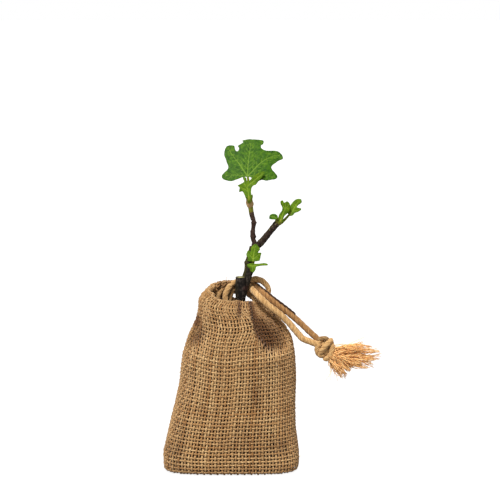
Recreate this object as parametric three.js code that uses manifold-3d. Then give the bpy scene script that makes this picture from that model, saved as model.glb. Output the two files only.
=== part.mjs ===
// A young fig sapling standing in a drawstring pouch of jute burlap that is
// filled with soil. Millimetres, +Z up. The origin is the middle of the
// pouch's flat underside; X runs right, Y runs to the back.
import * as THREE from "three";
import { mergeVertices } from "three/addons/utils/BufferGeometryUtils.js";
import Module from "manifold-3d";

// ---------------------------------------------------------------- sizes
const GAP = 0.35;              // clearance between neighbouring solids
const BAG_HEIGHT = 131;        // front rim above the ground
const BAG_WALL = 1.5;          // burlap, one layer
const HEM_WALL = 2.7;          // folded casing with the cord inside
const HEM_FROM = 0.9;          // casing starts at this share of the height
const SOIL_TOP = 117.5;        // top of the root ball
const AROUND = 56;             // facets round the pouch
const TRUNK_FOOT_R = 5.6;      // root flare at the soil
const TRUNK_SIDES = 14;
const LEAF_THICK = 0.6;
const CORD_R = 2.1;            // one strand of the drawstring
const PITCH = THREE.MathUtils.degToRad(9);   // leaves face this much upwards

// pouch extents: share of height, left, right, front, back
const BAG_PROFILE = [
  [0.0, -48.6, 48.4, -20.4, 18.0],
  [0.022, -51.0, 50.6, -22.4, 20.4],
  [0.1, -51.1, 50.6, -23.6, 22.6],
  [0.25, -46.6, 48.8, -25.4, 25.0],
  [0.4, -41.8, 48.2, -26.2, 26.0],
  [0.55, -38.6, 48.4, -26.6, 26.2],
  [0.68, -36.2, 47.5, -26.2, 25.2],
  [0.78, -32.2, 45.2, -25.2, 23.5],
  [0.86, -27.0, 41.0, -23.6, 21.0],
  [0.91, -25.0, 35.8, -21.8, 18.6],
  [0.95, -24.4, 27.8, -19.6, 16.0],
  [0.98, -22.4, 21.4, -17.6, 13.6],
  [1.0, -18.6, 17.0, -15.6, 11.8],
];
const BAG_ROWS = [0, 0.022, 0.1, 0.22, 0.36, 0.5, 0.62, 0.72, 0.8, 0.86, 0.9, 0.935, 0.97, 1];
// how much the rim rises above the front, by bearing in degrees (0 is +X, 90 is the back)
const RIM_RISE = [[0, -1], [40, 4], [75, 9.6], [110, 9.6], [150, 7.6], [180, 5.0], [215, 3.0], [250, 0.4], [290, 0], [330, -0.8], [360, -1]];
// gathers: bearing at the rim, bearing lower down, half width in degrees, depth, lowest share of the height
const GATHERS = [
  [309, 288, 7, 6.0, 0.62],
  [276, 274, 6, 1.6, 0.86],
  [236, 226, 7, 1.8, 0.82],
  [205, 200, 7, 2.6, 0.72],
  [338, 330, 9, 2.2, 0.74],
  [8, 12, 8, 2.0, 0.8],
  [40, 44, 7, 2.2, 0.78],
  [72, 72, 7, 2.6, 0.76],
  [104, 100, 7, 2.8, 0.74],
  [132, 128, 7, 2.4, 0.76],
  [162, 158, 8, 2.2, 0.8],
];
const SLITS = [[44, 88, 10, 11], [186, 200, 9, 10]];  // bearings from, to; row from, to: openings of the casing

// ---------------------------------------------------------------- helpers
const V = (x, y, z) => new THREE.Vector3(x, y, z);
const lerpTable = (table, x, k) => {
  if (x <= table[0][0]) return table[0][k];
  for (let i = 1; i < table.length; i++) {
    if (x <= table[i][0]) {
      const t = (x - table[i - 1][0]) / (table[i][0] - table[i - 1][0]);
      return table[i - 1][k] + t * (table[i][k] - table[i - 1][k]);
    }
  }
  return table[table.length - 1][k];
};
const ease = (a, b, x) => {
  const t = Math.min(1, Math.max(0, (x - a) / (b - a)));
  return t * t * (3 - 2 * t);
};

// closed surface from a list of triangles over a list of points
function surface(points, faces) {
  const g = new THREE.BufferGeometry();
  g.setAttribute("position", new THREE.Float32BufferAttribute(points.flatMap((p) => [p.x, p.y, p.z]), 3));
  g.setIndex(faces.flat());
  g.computeVertexNormals();
  return g;
}

// rings of equal count stacked along a path, with a fan over each end
function loft(rings) {
  const n = rings[0].length;
  const pts = rings.flat();
  const faces = [];
  for (let i = 0; i + 1 < rings.length; i++) {
    for (let j = 0; j < n; j++) {
      const a = i * n + j, b = i * n + ((j + 1) % n), c = a + n, d = b + n;
      faces.push([a, b, d], [a, d, c]);
    }
  }
  for (const [row, flip] of [[0, true], [rings.length - 1, false]]) {
    const mid = rings[row].reduce((s, p) => s.add(p), V(0, 0, 0)).multiplyScalar(1 / n);
    const m = pts.push(mid) - 1;
    for (let j = 0; j < n; j++) {
      const a = row * n + j, b = row * n + ((j + 1) % n);
      faces.push(flip ? [m, b, a] : [m, a, b]);
    }
  }
  return surface(pts, faces);
}

// tapering limb through stations [x, y, z, radius]; level ends stay horizontal
function limb(stations, sides, steps, grow = 0, levelStart = false) {
  const curve = new THREE.CatmullRomCurve3(stations.map((s) => V(s[0], s[1], s[2])), false, "centripetal");
  const rings = [];
  let side = null;
  for (let i = 0; i <= steps; i++) {
    const t = i / steps;
    const p = curve.getPoint(t);
    const dir = levelStart && i === 0 ? V(0, 0, 1) : curve.getTangent(t);
    const f = t * (stations.length - 1), k = Math.min(stations.length - 2, Math.floor(f));
    const r = stations[k][3] + (f - k) * (stations[k + 1][3] - stations[k][3]) + grow;
    if (grow && i === 0) p.addScaledVector(dir, -grow);
    if (grow && i === steps) p.addScaledVector(dir, grow);
    side = side ? side.clone().addScaledVector(dir, -side.dot(dir)).normalize()
      : V(0, 1, 0).addScaledVector(dir, -dir.y).normalize();
    const other = dir.clone().cross(side);
    rings.push(Array.from({ length: sides }, (_, j) => {
      const a = (j / sides) * 2 * Math.PI;
      return p.clone().addScaledVector(side, r * Math.cos(a)).addScaledVector(other, r * Math.sin(a));
    }));
  }
  return loft(rings);
}

// thin leaf blade: an outline [across, up] about a centre, tipped back and cupped by bend(a, b)
function blade(centre, outline, bend, thick = LEAF_THICK, shares = [0.55, 1]) {
  const up = V(0, Math.sin(PITCH), Math.cos(PITCH)), away = V(0, Math.cos(PITCH), -Math.sin(PITCH));
  const at = (a, b) => V(...centre).add(V(a, 0, 0)).addScaledVector(up, b).addScaledVector(away, bend(a, b));
  const n = outline.length, area = outline.reduce((s, p, i) => s + p[0] * outline[(i + 1) % n][1] - p[1] * outline[(i + 1) % n][0], 0);
  const ring = area > 0 ? outline : [...outline].reverse();
  const full = typeof thick === "function" ? thick : () => thick;
  const pts = [], faces = [];
  for (const s of [-1, 1]) {
    pts.push(at(0, 0).addScaledVector(away, (s * full(0)) / 2));
    for (const f of shares) for (const [a, b] of ring) pts.push(at(a * f, b * f).addScaledVector(away, (s * full(f)) / 2));
  }
  const half = pts.length / 2, id = (s, k, j) => s * half + 1 + k * n + (j % n);
  for (const s of [0, 1]) {
    const add = (a, b, c) => faces.push(s ? [a, c, b] : [a, b, c]);
    for (let j = 0; j < n; j++) {
      add(s * half, id(s, 0, j), id(s, 0, j + 1));
      for (let k = 0; k + 1 < shares.length; k++) {
        add(id(s, k, j), id(s, k + 1, j), id(s, k + 1, j + 1));
        add(id(s, k, j), id(s, k + 1, j + 1), id(s, k, j + 1));
      }
    }
  }
  const k = shares.length - 1;
  for (let j = 0; j < n; j++) {
    faces.push([id(0, k, j), id(1, k, j), id(1, k, j + 1)], [id(0, k, j), id(1, k, j + 1), id(0, k, j + 1)]);
  }
  return surface(pts, faces);
}

const wasm = await Module();
wasm.setup();
function solid(geometry) {
  const g = geometry.clone();
  for (const name of Object.keys(g.attributes)) if (name !== "position") g.deleteAttribute(name);
  const m = mergeVertices(g, 1e-4);
  return new wasm.Manifold(new wasm.Mesh({
    numProp: 3,
    vertProperties: new Float32Array(m.attributes.position.array),
    triVerts: new Uint32Array(m.index.array),
  }));
}
function shape(manifold) {
  const m = manifold.getMesh();
  const g = new THREE.BufferGeometry();
  g.setAttribute("position", new THREE.BufferAttribute(new Float32Array(m.vertProperties), 3));
  g.setIndex(new THREE.BufferAttribute(new Uint32Array(m.triVerts), 1));
  g.computeVertexNormals();
  return g;
}
const cut = (g, ...tools) => shape(tools.reduce((s, t) => s.subtract(solid(t)), solid(g)));
const join = (...parts) => shape(parts.slice(1).reduce((s, t) => s.add(solid(t)), solid(parts[0])));

const sapling = new THREE.Group();
function part(name, geometry, color, roughness) {
  const mesh = new THREE.Mesh(geometry, new THREE.MeshStandardMaterial({ color, roughness, metalness: 0 }));
  mesh.name = name;
  sapling.add(mesh);
  return mesh;
}

// ---------------------------------------------------------------- pouch
function gather(bearing, v) {
  let d = 0;
  for (const [top, low, width, depth, from] of GATHERS) {
    const mid = low + (top - low) * ease(0.86, 0.98, v);
    let off = ((bearing - mid + 540) % 360) - 180;
    d += depth * ease(from, Math.min(0.93, from + 0.22), v) * (1 - 0.25 * ease(0.95, 1, v)) * Math.exp(-((off / width) ** 2));
  }
  return d;
}
// point of the pouch's skin at a bearing (degrees) and share of height, moved in by inset
function skin(bearing, v, inset) {
  const t = THREE.MathUtils.degToRad(bearing), c = Math.cos(t), s = Math.sin(t);
  const [l, r, f, b] = [1, 2, 3, 4].map((k) => lerpTable(BAG_PROFILE, v, k));
  const square = 2 / (3.4 - 0.8 * ease(0, 0.2, v) - 0.5 * ease(0.2, 0.6, v));
  const rx = (r - l) / 2 - inset, ry = (s < 0 ? -f : b) - inset;
  const dip = 1 - gather(bearing, v) / Math.hypot(rx * c, ry * s);
  const x = (l + r) / 2 + rx * Math.sign(c) * Math.abs(c) ** square * dip;
  const y = ry * Math.sign(s) * Math.abs(s) ** square * dip;
  const z = v * BAG_HEIGHT + lerpTable(RIM_RISE, bearing, 1) * ease(0.72, 1, v);
  return V(x, y, z);
}
const bearings = Array.from({ length: AROUND }, (_, j) => (j * 360) / AROUND);
const wall = (v) => BAG_WALL + (HEM_WALL - BAG_WALL) * ease(HEM_FROM - 0.05, HEM_FROM + 0.02, v);
function bag() {
  const outer = BAG_ROWS.map((v) => bearings.map((b) => skin(b, v, 0)));
  const inner = BAG_ROWS.map((v, i) => bearings.map((b) => {
    const p = skin(b, v, wall(v));
    if (i === 0) p.z = BAG_WALL;
    if (i === BAG_ROWS.length - 1) p.z -= 0.2;
    return p;
  }));
  const crest = outer.at(-1).map((p, j) => p.clone().lerp(inner.at(-1)[j], 0.5).add(V(0, 0, 1.2)));
  const n = AROUND, rows = BAG_ROWS.length, pts = [...outer.flat(), ...inner.flat(), ...crest];
  const o = (i, j) => i * n + (j % n), q = (i, j) => (rows + i) * n + (j % n), t = (j) => 2 * rows * n + (j % n);
  const faces = [];
  const open = (i, j) => SLITS.some(([b0, b1, r0, r1]) => i >= r0 && i < r1 && j >= 0 && bearings[j % n] >= b0 && bearings[(j % n)] + 360 / n <= b1);
  for (let i = 0; i + 1 < rows; i++) {
    for (let j = 0; j < n; j++) {
      if (open(i, j)) {
        const edge = (a, b, c, d) => faces.push([a, c, b], [a, d, c]);
        if (!open(i, j - 1 + n)) edge(o(i, j), o(i + 1, j), q(i + 1, j), q(i, j));
        if (!open(i, j + 1)) edge(o(i + 1, j + 1), o(i, j + 1), q(i, j + 1), q(i + 1, j + 1));
        if (!open(i - 1, j)) edge(o(i, j + 1), o(i, j), q(i, j), q(i, j + 1));
        if (!open(i + 1, j)) edge(o(i + 1, j), o(i + 1, j + 1), q(i + 1, j + 1), q(i + 1, j));
        continue;
      }
      faces.push([o(i, j), o(i, j + 1), o(i + 1, j + 1)], [o(i, j), o(i + 1, j + 1), o(i + 1, j)]);
      faces.push([q(i, j), q(i + 1, j + 1), q(i, j + 1)], [q(i, j), q(i + 1, j), q(i + 1, j + 1)]);
    }
  }
  const top = rows - 1;
  for (let j = 0; j < n; j++) {
    faces.push([o(top, j), o(top, j + 1), t(j + 1)], [o(top, j), t(j + 1), t(j)]);
    faces.push([t(j), t(j + 1), q(top, j + 1)], [t(j), q(top, j + 1), q(top, j)]);
  }
  const under = pts.push(V(0, 0, 0)) - 1, floor = pts.push(V(0, 0, BAG_WALL)) - 1;
  for (let j = 0; j < n; j++) {
    faces.push([under, o(0, j + 1), o(0, j)], [floor, q(0, j), q(0, j + 1)]);
  }
  return surface(pts, faces);
}
part("bag", bag(), 0xb08a55, 0.95);

// soil that fills the pouch, with a level top
const soilRows = BAG_ROWS.filter((v) => v <= HEM_FROM);
part("root_ball", loft(soilRows.map((v, i) => bearings.map((b) => {
  const p = skin(b, v, wall(v) + 0.5);
  if (i === 0) p.z = BAG_WALL + GAP;
  p.z = i === soilRows.length - 1 ? SOIL_TOP : Math.min(p.z, SOIL_TOP - 0.6);
  return p;
}))), 0x3a2a1c, 1);

// ---------------------------------------------------------------- woody limbs
const trunkLine = [
  [6.9, 0.3, SOIL_TOP + GAP, TRUNK_FOOT_R],
  [7.0, 0.2, SOIL_TOP + 2.5, 4.6],
  [7.2, 0.1, SOIL_TOP + 5.5, 4.05],
  [7.6, 0, 129.8, 3.85],
  [8.1, 0, 136.4, 4.1],
  [10.6, 0, 143.6, 3.75],
  [12.7, 0, 150.8, 3.4],
  [13.9, 0, 157.4, 3.5],
  [15.1, 0, 162.6, 3.0],
  [16.5, 0, 168.9, 2.75],
];
const stubLine = [[7.6, -0.8, 136, 3.4], [7.4, -0.9, 141, 3.4], [7.45, -1, 145.4, 3.15]];
const leaderLine = [
  [16.9, 0.3, 168.6, 1.9], [17.3, 0.4, 172, 1.65], [16.4, 0.5, 174.4, 1.5], [16.3, 0.6, 176.4, 1.95],
  [16.1, 0.7, 179.2, 1.6], [16.5, 0.8, 183, 1.25], [16.8, 0.9, 186.4, 1.7], [16.6, 1, 188.6, 1.4],
  [15.5, 1.1, 192.2, 1.6], [15.1, 1.2, 194.1, 1.6],
];
const branchLine = [
  [17.4, -1, 167.8, 2.3], [20.4, -1.6, 170.6, 2.35], [23.9, -2.4, 174.4, 2.3], [27.8, -3.2, 179.4, 2.1],
  [31.4, -4, 184.0, 2.2], [34.3, -4.6, 187.6, 2.3],
];
const topShootLine = [
  [15, 1.2, 194, 1.5], [14.7, 1.2, 196.8, 1.7], [14.4, 1.2, 199.2, 1.7], [14, 1.1, 202, 2.1],
  [13.5, 1, 204.4, 2.5], [13, 1.1, 207.6, 1.85], [12.9, 1.5, 211.6, 1.35], [12.9, 2.4, 216, 1.1], [12.8, 3, 220.6, 1],
];
const sideShootLine = [[33.6, -4.5, 187, 2], [35.6, -5, 189.6, 1.9], [37, -5.2, 192.6, 1.3], [38.2, -5, 196.6, 0.9]];
const lowShootLine = [[15.8, -2.4, 153.4, 1.9], [16.5, -4.2, 155.4, 1.5], [16.1, -5.2, 158.6, 0.8]];
const trunkGrown = limb(trunkLine, TRUNK_SIDES, 24, GAP, true);
part("trunk", join(limb(trunkLine, TRUNK_SIDES, 24, 0, true), limb(stubLine, 12, 4)), 0x2b2420, 0.85);
const leaderGrown = limb(leaderLine, 10, 20, GAP);
part("leader", cut(limb(leaderLine, 10, 20), trunkGrown), 0x3c2a22, 0.85);
const branchGrown = limb(branchLine, 12, 12, GAP);
part("side_branch", cut(limb(branchLine, 12, 12), trunkGrown, leaderGrown), 0x33251e, 0.85);

// ---------------------------------------------------------------- leaves
const LEAVES = {
  large_leaf: {
    centre: [12.9, 6.6, 228.4], color: 0x4c9a2c, bend: (a, b) => 0.42 * b + 0.004 * a * a,
    outline: [[-3.9, -8.5], [-9.2, -10.6], [-13.3, -11.6], [-18.6, -10], [-19.6, -7.1], [-15.1, -1.8], [-16.3, 3.5], [-18.1, 8.9],
      [-16.9, 13.6], [-15.1, 15.3], [-10.9, 15.3], [-9.4, 13.2], [-7.9, 11.6], [-7.3, 13.2], [-8, 15.1], [-3.9, 17.7], [-4.5, 19.1],
      [0.2, 20.1], [5.9, 19.9], [11.1, 19.1], [11.1, 16.5], [9.3, 15.3], [9.7, 13.2], [13.2, 11.6], [21.5, 11.2], [25, 8.3],
      [25.4, 5.3], [21.5, 3.3], [16.8, -1.2], [21.1, -7.1], [20.3, -9.7], [13.2, -11.2], [9.7, -10.6], [5.5, -12], [1.5, -8.6]],
  },
  small_top_leaf: {
    centre: [11.8, -2.6, 213.9], color: 0x79b93a, bend: (a, b) => 0.12 * b + 0.012 * a * a,
    outline: [[3.5, -8.5], [3.1, -4.1], [3.3, -0.6], [4.4, 1.4], [6.3, 2.1], [6.5, 3.3], [9.7, 6.5], [12.7, 10], [12.5, 11.2],
      [9.7, 10], [6.1, 8], [3.8, 5.7], [1.7, 3.8], [0, 4.2], [-0.7, 6.8], [-2.7, 7.3], [-3, 6.1], [-2.1, 3.8], [-4.2, 2.4],
      [-6.8, 0.9], [-5.4, -0.6], [-5.7, -3.8], [-3.3, -3.5], [-1.9, -5.9], [-0.4, -8.3]],
  },
  side_leaf_left: {
    centre: [31.3, -8.6, 192.6], color: 0x3f7d2a, bend: (a, b) => 0.1 * b + 0.03 * a * a,
    outline: [[-3.2, -0.5], [-2.6, 1.2], [-0.8, 2.1], [1.5, 1.9], [3.1, 0.4], [2.7, -1.7], [0.4, -2.1], [-2.8, -1.7]],
  },
  side_leaf_middle: {
    centre: [39.4, -8.2, 197.6], color: 0x6fa536, bend: (a, b) => -0.05 * b + 0.06 * a * a,
    outline: [[-3.9, -8.9], [-4.4, -5.9], [-3.2, -3], [-1.5, 0.6], [-1.5, 2.3], [-2.7, 4.7], [-2.7, 6.5], [-1.2, 6.7], [0.1, 5.1],
      [1.5, 6], [3, 5.1], [3.9, 2.4], [3.2, -0.6], [1.5, -3], [-0.4, -5.3], [-1.5, -8.9]],
  },
  side_leaf_right: {
    centre: [46.1, -4.4, 197.8], color: 0x8cc43c, bend: (a, b) => 0.15 * b + 0.02 * a * a,
    outline: [[-3.3, -4], [-2.7, -4.7], [-1.8, -5.3], [-0.6, -3.8], [0.6, -2.6], [3.5, -2.1], [4.7, -0.9], [5.7, 0], [4.1, 0.5],
      [2.1, 0.9], [3.5, 2.4], [5.3, 4.1], [5.9, 5.3], [5.3, 7.3], [2.9, 7.3], [1.8, 6.5], [0, 4.1], [-1.4, 1.8], [-2.3, -0.6]],
  },
  low_leaf_upper: {
    centre: [16.7, -7.2, 164.4], color: 0x62a832, bend: (a, b) => 0.1 * b + 0.03 * a * a,
    outline: [[-4.3, -5], [-4.1, -2.6], [-5.2, -1], [-5.4, 0.3], [-4.6, 2.1], [-3.9, 2.8], [-2.1, 2.5], [-2.1, 4.3], [-0.5, 6.6],
      [1.7, 7.8], [3.8, 5.6], [4.8, 3.6], [3.3, 1.4], [5.7, 1.2], [5.3, -1], [4.5, -4.5], [2.6, -5.1], [0, -5.3]],
  },
  low_leaf_side: {
    centre: [16.2, -8.4, 156.2], color: 0x6fb436, bend: (a, b) => 0.1 * b - 0.02 * a,
    outline: [[11.1, 0.8], [10.6, 0.1], [8, 0], [5.1, -0.3], [2.5, -0.9], [2.2, -1.8], [1.8, -3.3], [0.8, -4.7], [-0.5, -5],
      [-1.8, -3.5], [-1.8, -2], [-3.1, -1.6], [-4.1, -0.5], [-4.3, 0.8], [-3.1, 1.4], [-0.8, 1.7], [1.8, 1.4], [4.5, 1.5],
      [8.1, 1.9], [10.4, 1.5]],
  },
};
for (const [name, leaf] of Object.entries(LEAVES)) {
  part(name, blade(leaf.centre, leaf.outline, leaf.bend), leaf.color, 0.55);
}
const clearOf = (name) => blade(LEAVES[name].centre, LEAVES[name].outline, LEAVES[name].bend, LEAF_THICK + 2 * GAP);

// green shoots that carry the leaves
part("top_shoot", cut(limb(topShootLine, 10, 18), leaderGrown, clearOf("large_leaf"), clearOf("small_top_leaf")), 0x7f9a3a, 0.7);
part("side_shoot", cut(limb(sideShootLine, 10, 8), branchGrown, clearOf("side_leaf_left"), clearOf("side_leaf_middle"), clearOf("side_leaf_right")), 0x8a9a45, 0.7);
part("low_shoot", cut(limb(lowShootLine, 10, 6), trunkGrown, clearOf("low_leaf_upper"), clearOf("low_leaf_side")), 0x7d9a34, 0.7);

// ---------------------------------------------------------------- drawstring
const frontLine = [
  [11.9, 6.7, 139.2], [14.8, 3.6, 137.2], [17.8, -3.8, 135.2], [21, -9.6, 132.9], [27.9, -11.2, 126.6], [34.9, -11.2, 121.4],
  [42, -10.6, 114.6], [46.3, -10.8, 109.6], [50.5, -11.2, 104.6], [53.4, -11.6, 101.8], [59, -12, 99.7], [63.3, -12, 97.9],
].map((p) => [...p, CORD_R]);
const backLine = [
  [20.4, 2.2, 136.4], [24.4, -2, 134], [30.1, -5, 130.8], [35, -6.4, 126.8], [42, -6.8, 121.8], [46.3, -7, 117.5],
  [50.6, -7.4, 113.9], [56.3, -8.4, 109.1], [60.5, -9, 104.9], [64.8, -9.6, 101],
].map((p) => [...p, CORD_R]);
const loopLine = [
  [-6.4, 4.2, 136.8], [-2.3, 4.8, 140.8], [3.6, 6.2, 144.1], [9.6, 6.5, 144.6], [14.4, 6.5, 144.4], [19.3, 6, 145.2],
  [24.1, 5, 143.5], [27.5, 4.4, 139.9], [28.4, 4.2, 136.9],
].map((p) => [...p, 1.75]);
const KNOT = [69.2, -10.6, 94.6];
function knotBody(grow) {
  const body = new THREE.SphereGeometry(1, 14, 10);
  body.scale(4.6 + grow, 4.6 + grow, 8.6 + grow);
  body.rotateY(THREE.MathUtils.degToRad(-18));
  const wraps = [[-2.2, 34], [2.6, 28]].map(([shift, tip]) => {
    const w = new THREE.TorusGeometry(3.8, 2.0 + grow, 7, 16);
    w.scale(1.05, 1.15, 1);
    w.rotateX(Math.PI / 2);
    w.translate(0, 0, shift);
    w.rotateY(THREE.MathUtils.degToRad(tip));
    return w;
  });
  const g = join(body, ...wraps);
  g.translate(...KNOT);
  return g;
}
part("knot", knotBody(0), 0xb58c55, 0.9);
const knotGrown = knotBody(GAP);
part("cord_front", cut(limb(frontLine, 8, 18), knotGrown), 0xc39a62, 0.9);
part("cord_back", cut(limb(backLine, 8, 18), knotGrown), 0xa97d47, 0.9);
part("cord_loop", limb(loopLine, 8, 16), 0xa9824c, 0.9);
part("tassel", cut(blade([84.6, -11.4, 88.6],
  [[-14, 5], [-7, 7], [4, 9], [11.5, 11.4], [14, 8.2], [19.5, 7.2], [24.6, 3], [24, -1.6], [20, -3.4], [20.4, -7], [16.4, -9.6],
    [11, -5.4], [6.4, -7.4], [3, -10.6], [0.4, -14.2], [-2.2, -16.2], [-4.6, -11], [-7.4, -15.6], [-9.6, -8], [-12.6, -2.6]],
  (a, b) => 0.03 * a, (f) => 9 - 7.6 * f, [0.3, 0.65, 1]), knotGrown), 0xd9a25e, 0.95);

export default sapling;
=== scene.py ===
"""A young fig sapling that stands in a drawstring pouch of jute burlap filled with soil.
Everything below is worked out in millimetres, in the frame of the CAD model, and written to Blender in metres."""
import math
import bpy
import numpy as np
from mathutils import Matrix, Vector
from mathutils.geometry import delaunay_2d_cdt


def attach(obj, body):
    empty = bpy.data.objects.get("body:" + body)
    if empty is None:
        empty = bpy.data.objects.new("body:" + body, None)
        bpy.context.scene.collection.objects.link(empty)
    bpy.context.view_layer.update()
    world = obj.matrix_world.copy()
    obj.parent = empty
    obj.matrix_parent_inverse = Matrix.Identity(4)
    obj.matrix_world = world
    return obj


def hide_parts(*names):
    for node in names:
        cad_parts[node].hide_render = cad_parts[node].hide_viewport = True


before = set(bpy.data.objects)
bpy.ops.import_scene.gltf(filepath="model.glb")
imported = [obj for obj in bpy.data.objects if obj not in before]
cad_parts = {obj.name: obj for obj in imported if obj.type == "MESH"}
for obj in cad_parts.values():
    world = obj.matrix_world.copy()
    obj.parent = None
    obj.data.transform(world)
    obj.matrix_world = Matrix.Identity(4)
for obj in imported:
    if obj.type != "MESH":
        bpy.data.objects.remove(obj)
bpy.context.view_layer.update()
PIECES = []


# ------------------------------------------------------------------ camera, light, floor
scene = bpy.context.scene
scene.view_settings.view_transform = "Standard"
cam_data = bpy.data.cameras.new("camera")
cam_data.sensor_width = 36.0
cam_data.lens = 126.486
cam_data.clip_end = 20
cam = bpy.data.objects.new("camera", cam_data)
cam.location = (0.01406, -1.28399, 0.36986)
cam.rotation_euler = (math.radians(81), 0, 0)
scene.collection.objects.link(cam)
scene.camera = cam


def area_light(name, place, target, size, power, color=(1, 1, 1)):
    data = bpy.data.lights.new(name, "AREA")
    data.shape = "DISK"
    data.size = size
    data.energy = power
    data.color = color
    o = bpy.data.objects.new(name, data)
    o.location = place
    o.rotation_euler = (Vector(target) - Vector(place)).to_track_quat("-Z", "Y").to_euler()
    scene.collection.objects.link(o)
    return o


sun_data = bpy.data.lights.new("sun", "SUN")
sun_data.energy = 4.7
sun_data.angle = math.radians(18)
sun_data.color = (1, 0.985, 0.965)
sun = bpy.data.objects.new("sun", sun_data)
sun.rotation_euler = Vector((0.27, 0.66, -0.98)).to_track_quat("-Z", "Y").to_euler()
scene.collection.objects.link(sun)
# a broad, weaker light from behind, so that the far side can be seen too
behind_data = bpy.data.lights.new("behind", "SUN")
behind_data.energy = 2.4
behind_data.angle = math.radians(60)
behind = bpy.data.objects.new("behind", behind_data)
behind.rotation_euler = Vector((-0.38, -0.85, -0.42)).to_track_quat("-Z", "Y").to_euler()
scene.collection.objects.link(behind)
area_light("fill", (0.3, -1.2, 0.4), (0, 0, 0.12), 0.5, 1.2, (1, 1, 1))
# plain white surroundings: softer on the object than what the camera sees of them
world = bpy.data.worlds.new("world")
world.use_nodes = True
wt = world.node_tree
back = wt.nodes["Background"]
back.inputs["Color"].default_value = (1, 1, 1, 1)
path = wt.nodes.new("ShaderNodeLightPath")
level = wt.nodes.new("ShaderNodeMapRange")
level.inputs["To Min"].default_value = 0.40
level.inputs["To Max"].default_value = 1.0
wt.links.new(path.outputs["Is Camera Ray"], level.inputs["Value"])
wt.links.new(level.outputs["Result"], back.inputs["Strength"])
scene.world = world


# ------------------------------------------------------------------ numbers
def rng(seed):
    return np.random.default_rng(seed)


def ease(a, b, x):
    t = np.clip((np.asarray(x, float) - a) / (b - a), 0, 1)
    return t * t * (3 - 2 * t)


def unit(a):
    return a / np.maximum(np.linalg.norm(a, axis=-1, keepdims=True), 1e-9)


def lattice(ix, iy, iz, seed):
    h = (ix.astype(np.uint32) * np.uint32(374761393) + iy.astype(np.uint32) * np.uint32(668265263)
         + iz.astype(np.uint32) * np.uint32(1274126177) + np.uint32(seed * 362437 & 0xffffffff))
    h = (h ^ (h >> np.uint32(13))) * np.uint32(1103515245)
    h = (h ^ (h >> np.uint32(16))) * np.uint32(2654435761)
    return ((h ^ (h >> np.uint32(15))) & np.uint32(0xffffff)).astype(float) / 0x7fffff - 1.0


def noise(p, scale=1.0, seed=0, octaves=1):
    """Smooth noise from -1 to 1 at points (..., 3), one cell every `scale` mm."""
    p = np.asarray(p, float)
    total, amp, norm = 0.0, 1.0, 0.0
    for o in range(octaves):
        q = p / scale * 2 ** o + 1000.5
        i = np.floor(q).astype(np.int64)
        f = q - i
        f = f * f * (3 - 2 * f)
        x, y, z = i[..., 0], i[..., 1], i[..., 2]
        v = 0
        for dx in (0, 1):
            for dy in (0, 1):
                for dz in (0, 1):
                    w = (f[..., 0] if dx else 1 - f[..., 0]) * (f[..., 1] if dy else 1 - f[..., 1]) * (f[..., 2] if dz else 1 - f[..., 2])
                    v = v + w * lattice(x + dx, y + dy, z + dz, seed + 17 * o)
        total = total + amp * v
        norm += amp
        amp *= 0.5
    return total / norm


def noise1(t, seed=0, octaves=1):
    t = np.asarray(t, float)
    return noise(np.stack([t, t * 0 + 7.3 * (seed % 97), t * 0 + 3.1], -1), 1.0, seed, octaves)


def spline(points, n=None, step=None):
    """Smooth line through rows of numbers, of which the first three are a place; n samples, evenly spaced along it."""
    p = np.asarray(points, float)
    e = np.vstack([2 * p[0] - p[1], p, 2 * p[-1] - p[-2]])
    out = []
    for k in range(len(p) - 1):
        a, b, c, d = e[k], e[k + 1], e[k + 2], e[k + 3]
        t = np.linspace(0, 1, 24, endpoint=False)[:, None]
        out.append(0.5 * (2 * b + (c - a) * t + (2 * a - 5 * b + 4 * c - d) * t ** 2 + (3 * b - a - 3 * c + d) * t ** 3))
    out = np.vstack(out + [p[-1:]])
    s = np.concatenate([[0], np.cumsum(np.linalg.norm(np.diff(out[:, :3], axis=0), axis=1))])
    if n is None:
        n = max(4, int(round(s[-1] / step)) + 1)
    t = np.linspace(0, s[-1], n)
    return np.stack([np.interp(t, s, out[:, k]) for k in range(out.shape[1])], -1)


# ------------------------------------------------------------------ meshes
def build(name, V, quads=None, tris=None, mat=None, attrs=None, uv=None, smooth=True):
    """Mesh object from points in mm; attrs are numbers for each point; uv is for each corner, quads first."""
    me = bpy.data.meshes.new(name)
    V = np.asarray(V, float)
    lists = [(np.asarray(f, np.int64), k) for f, k in ((quads, 4), (tris, 3)) if f is not None and len(f)]
    used = np.zeros(len(V), bool)
    for f, _ in lists:
        used[f.ravel()] = True
    new = np.cumsum(used) - 1
    V = V[used]
    loops = np.concatenate([new[f].ravel() for f, _ in lists])
    sizes = np.concatenate([np.full(len(f), k) for f, k in lists])
    me.vertices.add(len(V))
    me.vertices.foreach_set("co", (V * 0.001).astype(np.float32).ravel())
    me.loops.add(len(loops))
    me.loops.foreach_set("vertex_index", loops.astype(np.int32))
    me.polygons.add(len(sizes))
    me.polygons.foreach_set("loop_start", (np.cumsum(sizes) - sizes).astype(np.int32))
    me.polygons.foreach_set("use_smooth", np.full(len(sizes), smooth))
    if uv is not None:
        layer = me.uv_layers.new(name="OFBake")
        layer.data.foreach_set("uv", np.asarray(uv, np.float32).ravel())
    me.update(calc_edges=True)
    for key, a in (attrs or {}).items():
        a = np.asarray(a, np.float32).reshape(len(used), -1)[used]
        if a.shape[1] == 1:
            me.attributes.new(key, "FLOAT", "POINT").data.foreach_set("value", a.ravel())
        else:
            me.attributes.new(key, "FLOAT_VECTOR", "POINT").data.foreach_set("vector", a.ravel())
    if mat is not None:
        me.materials.append(mat)
    o = bpy.data.objects.new(name, me)
    scene.collection.objects.link(o)
    PIECES.append(o)
    return o


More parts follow.
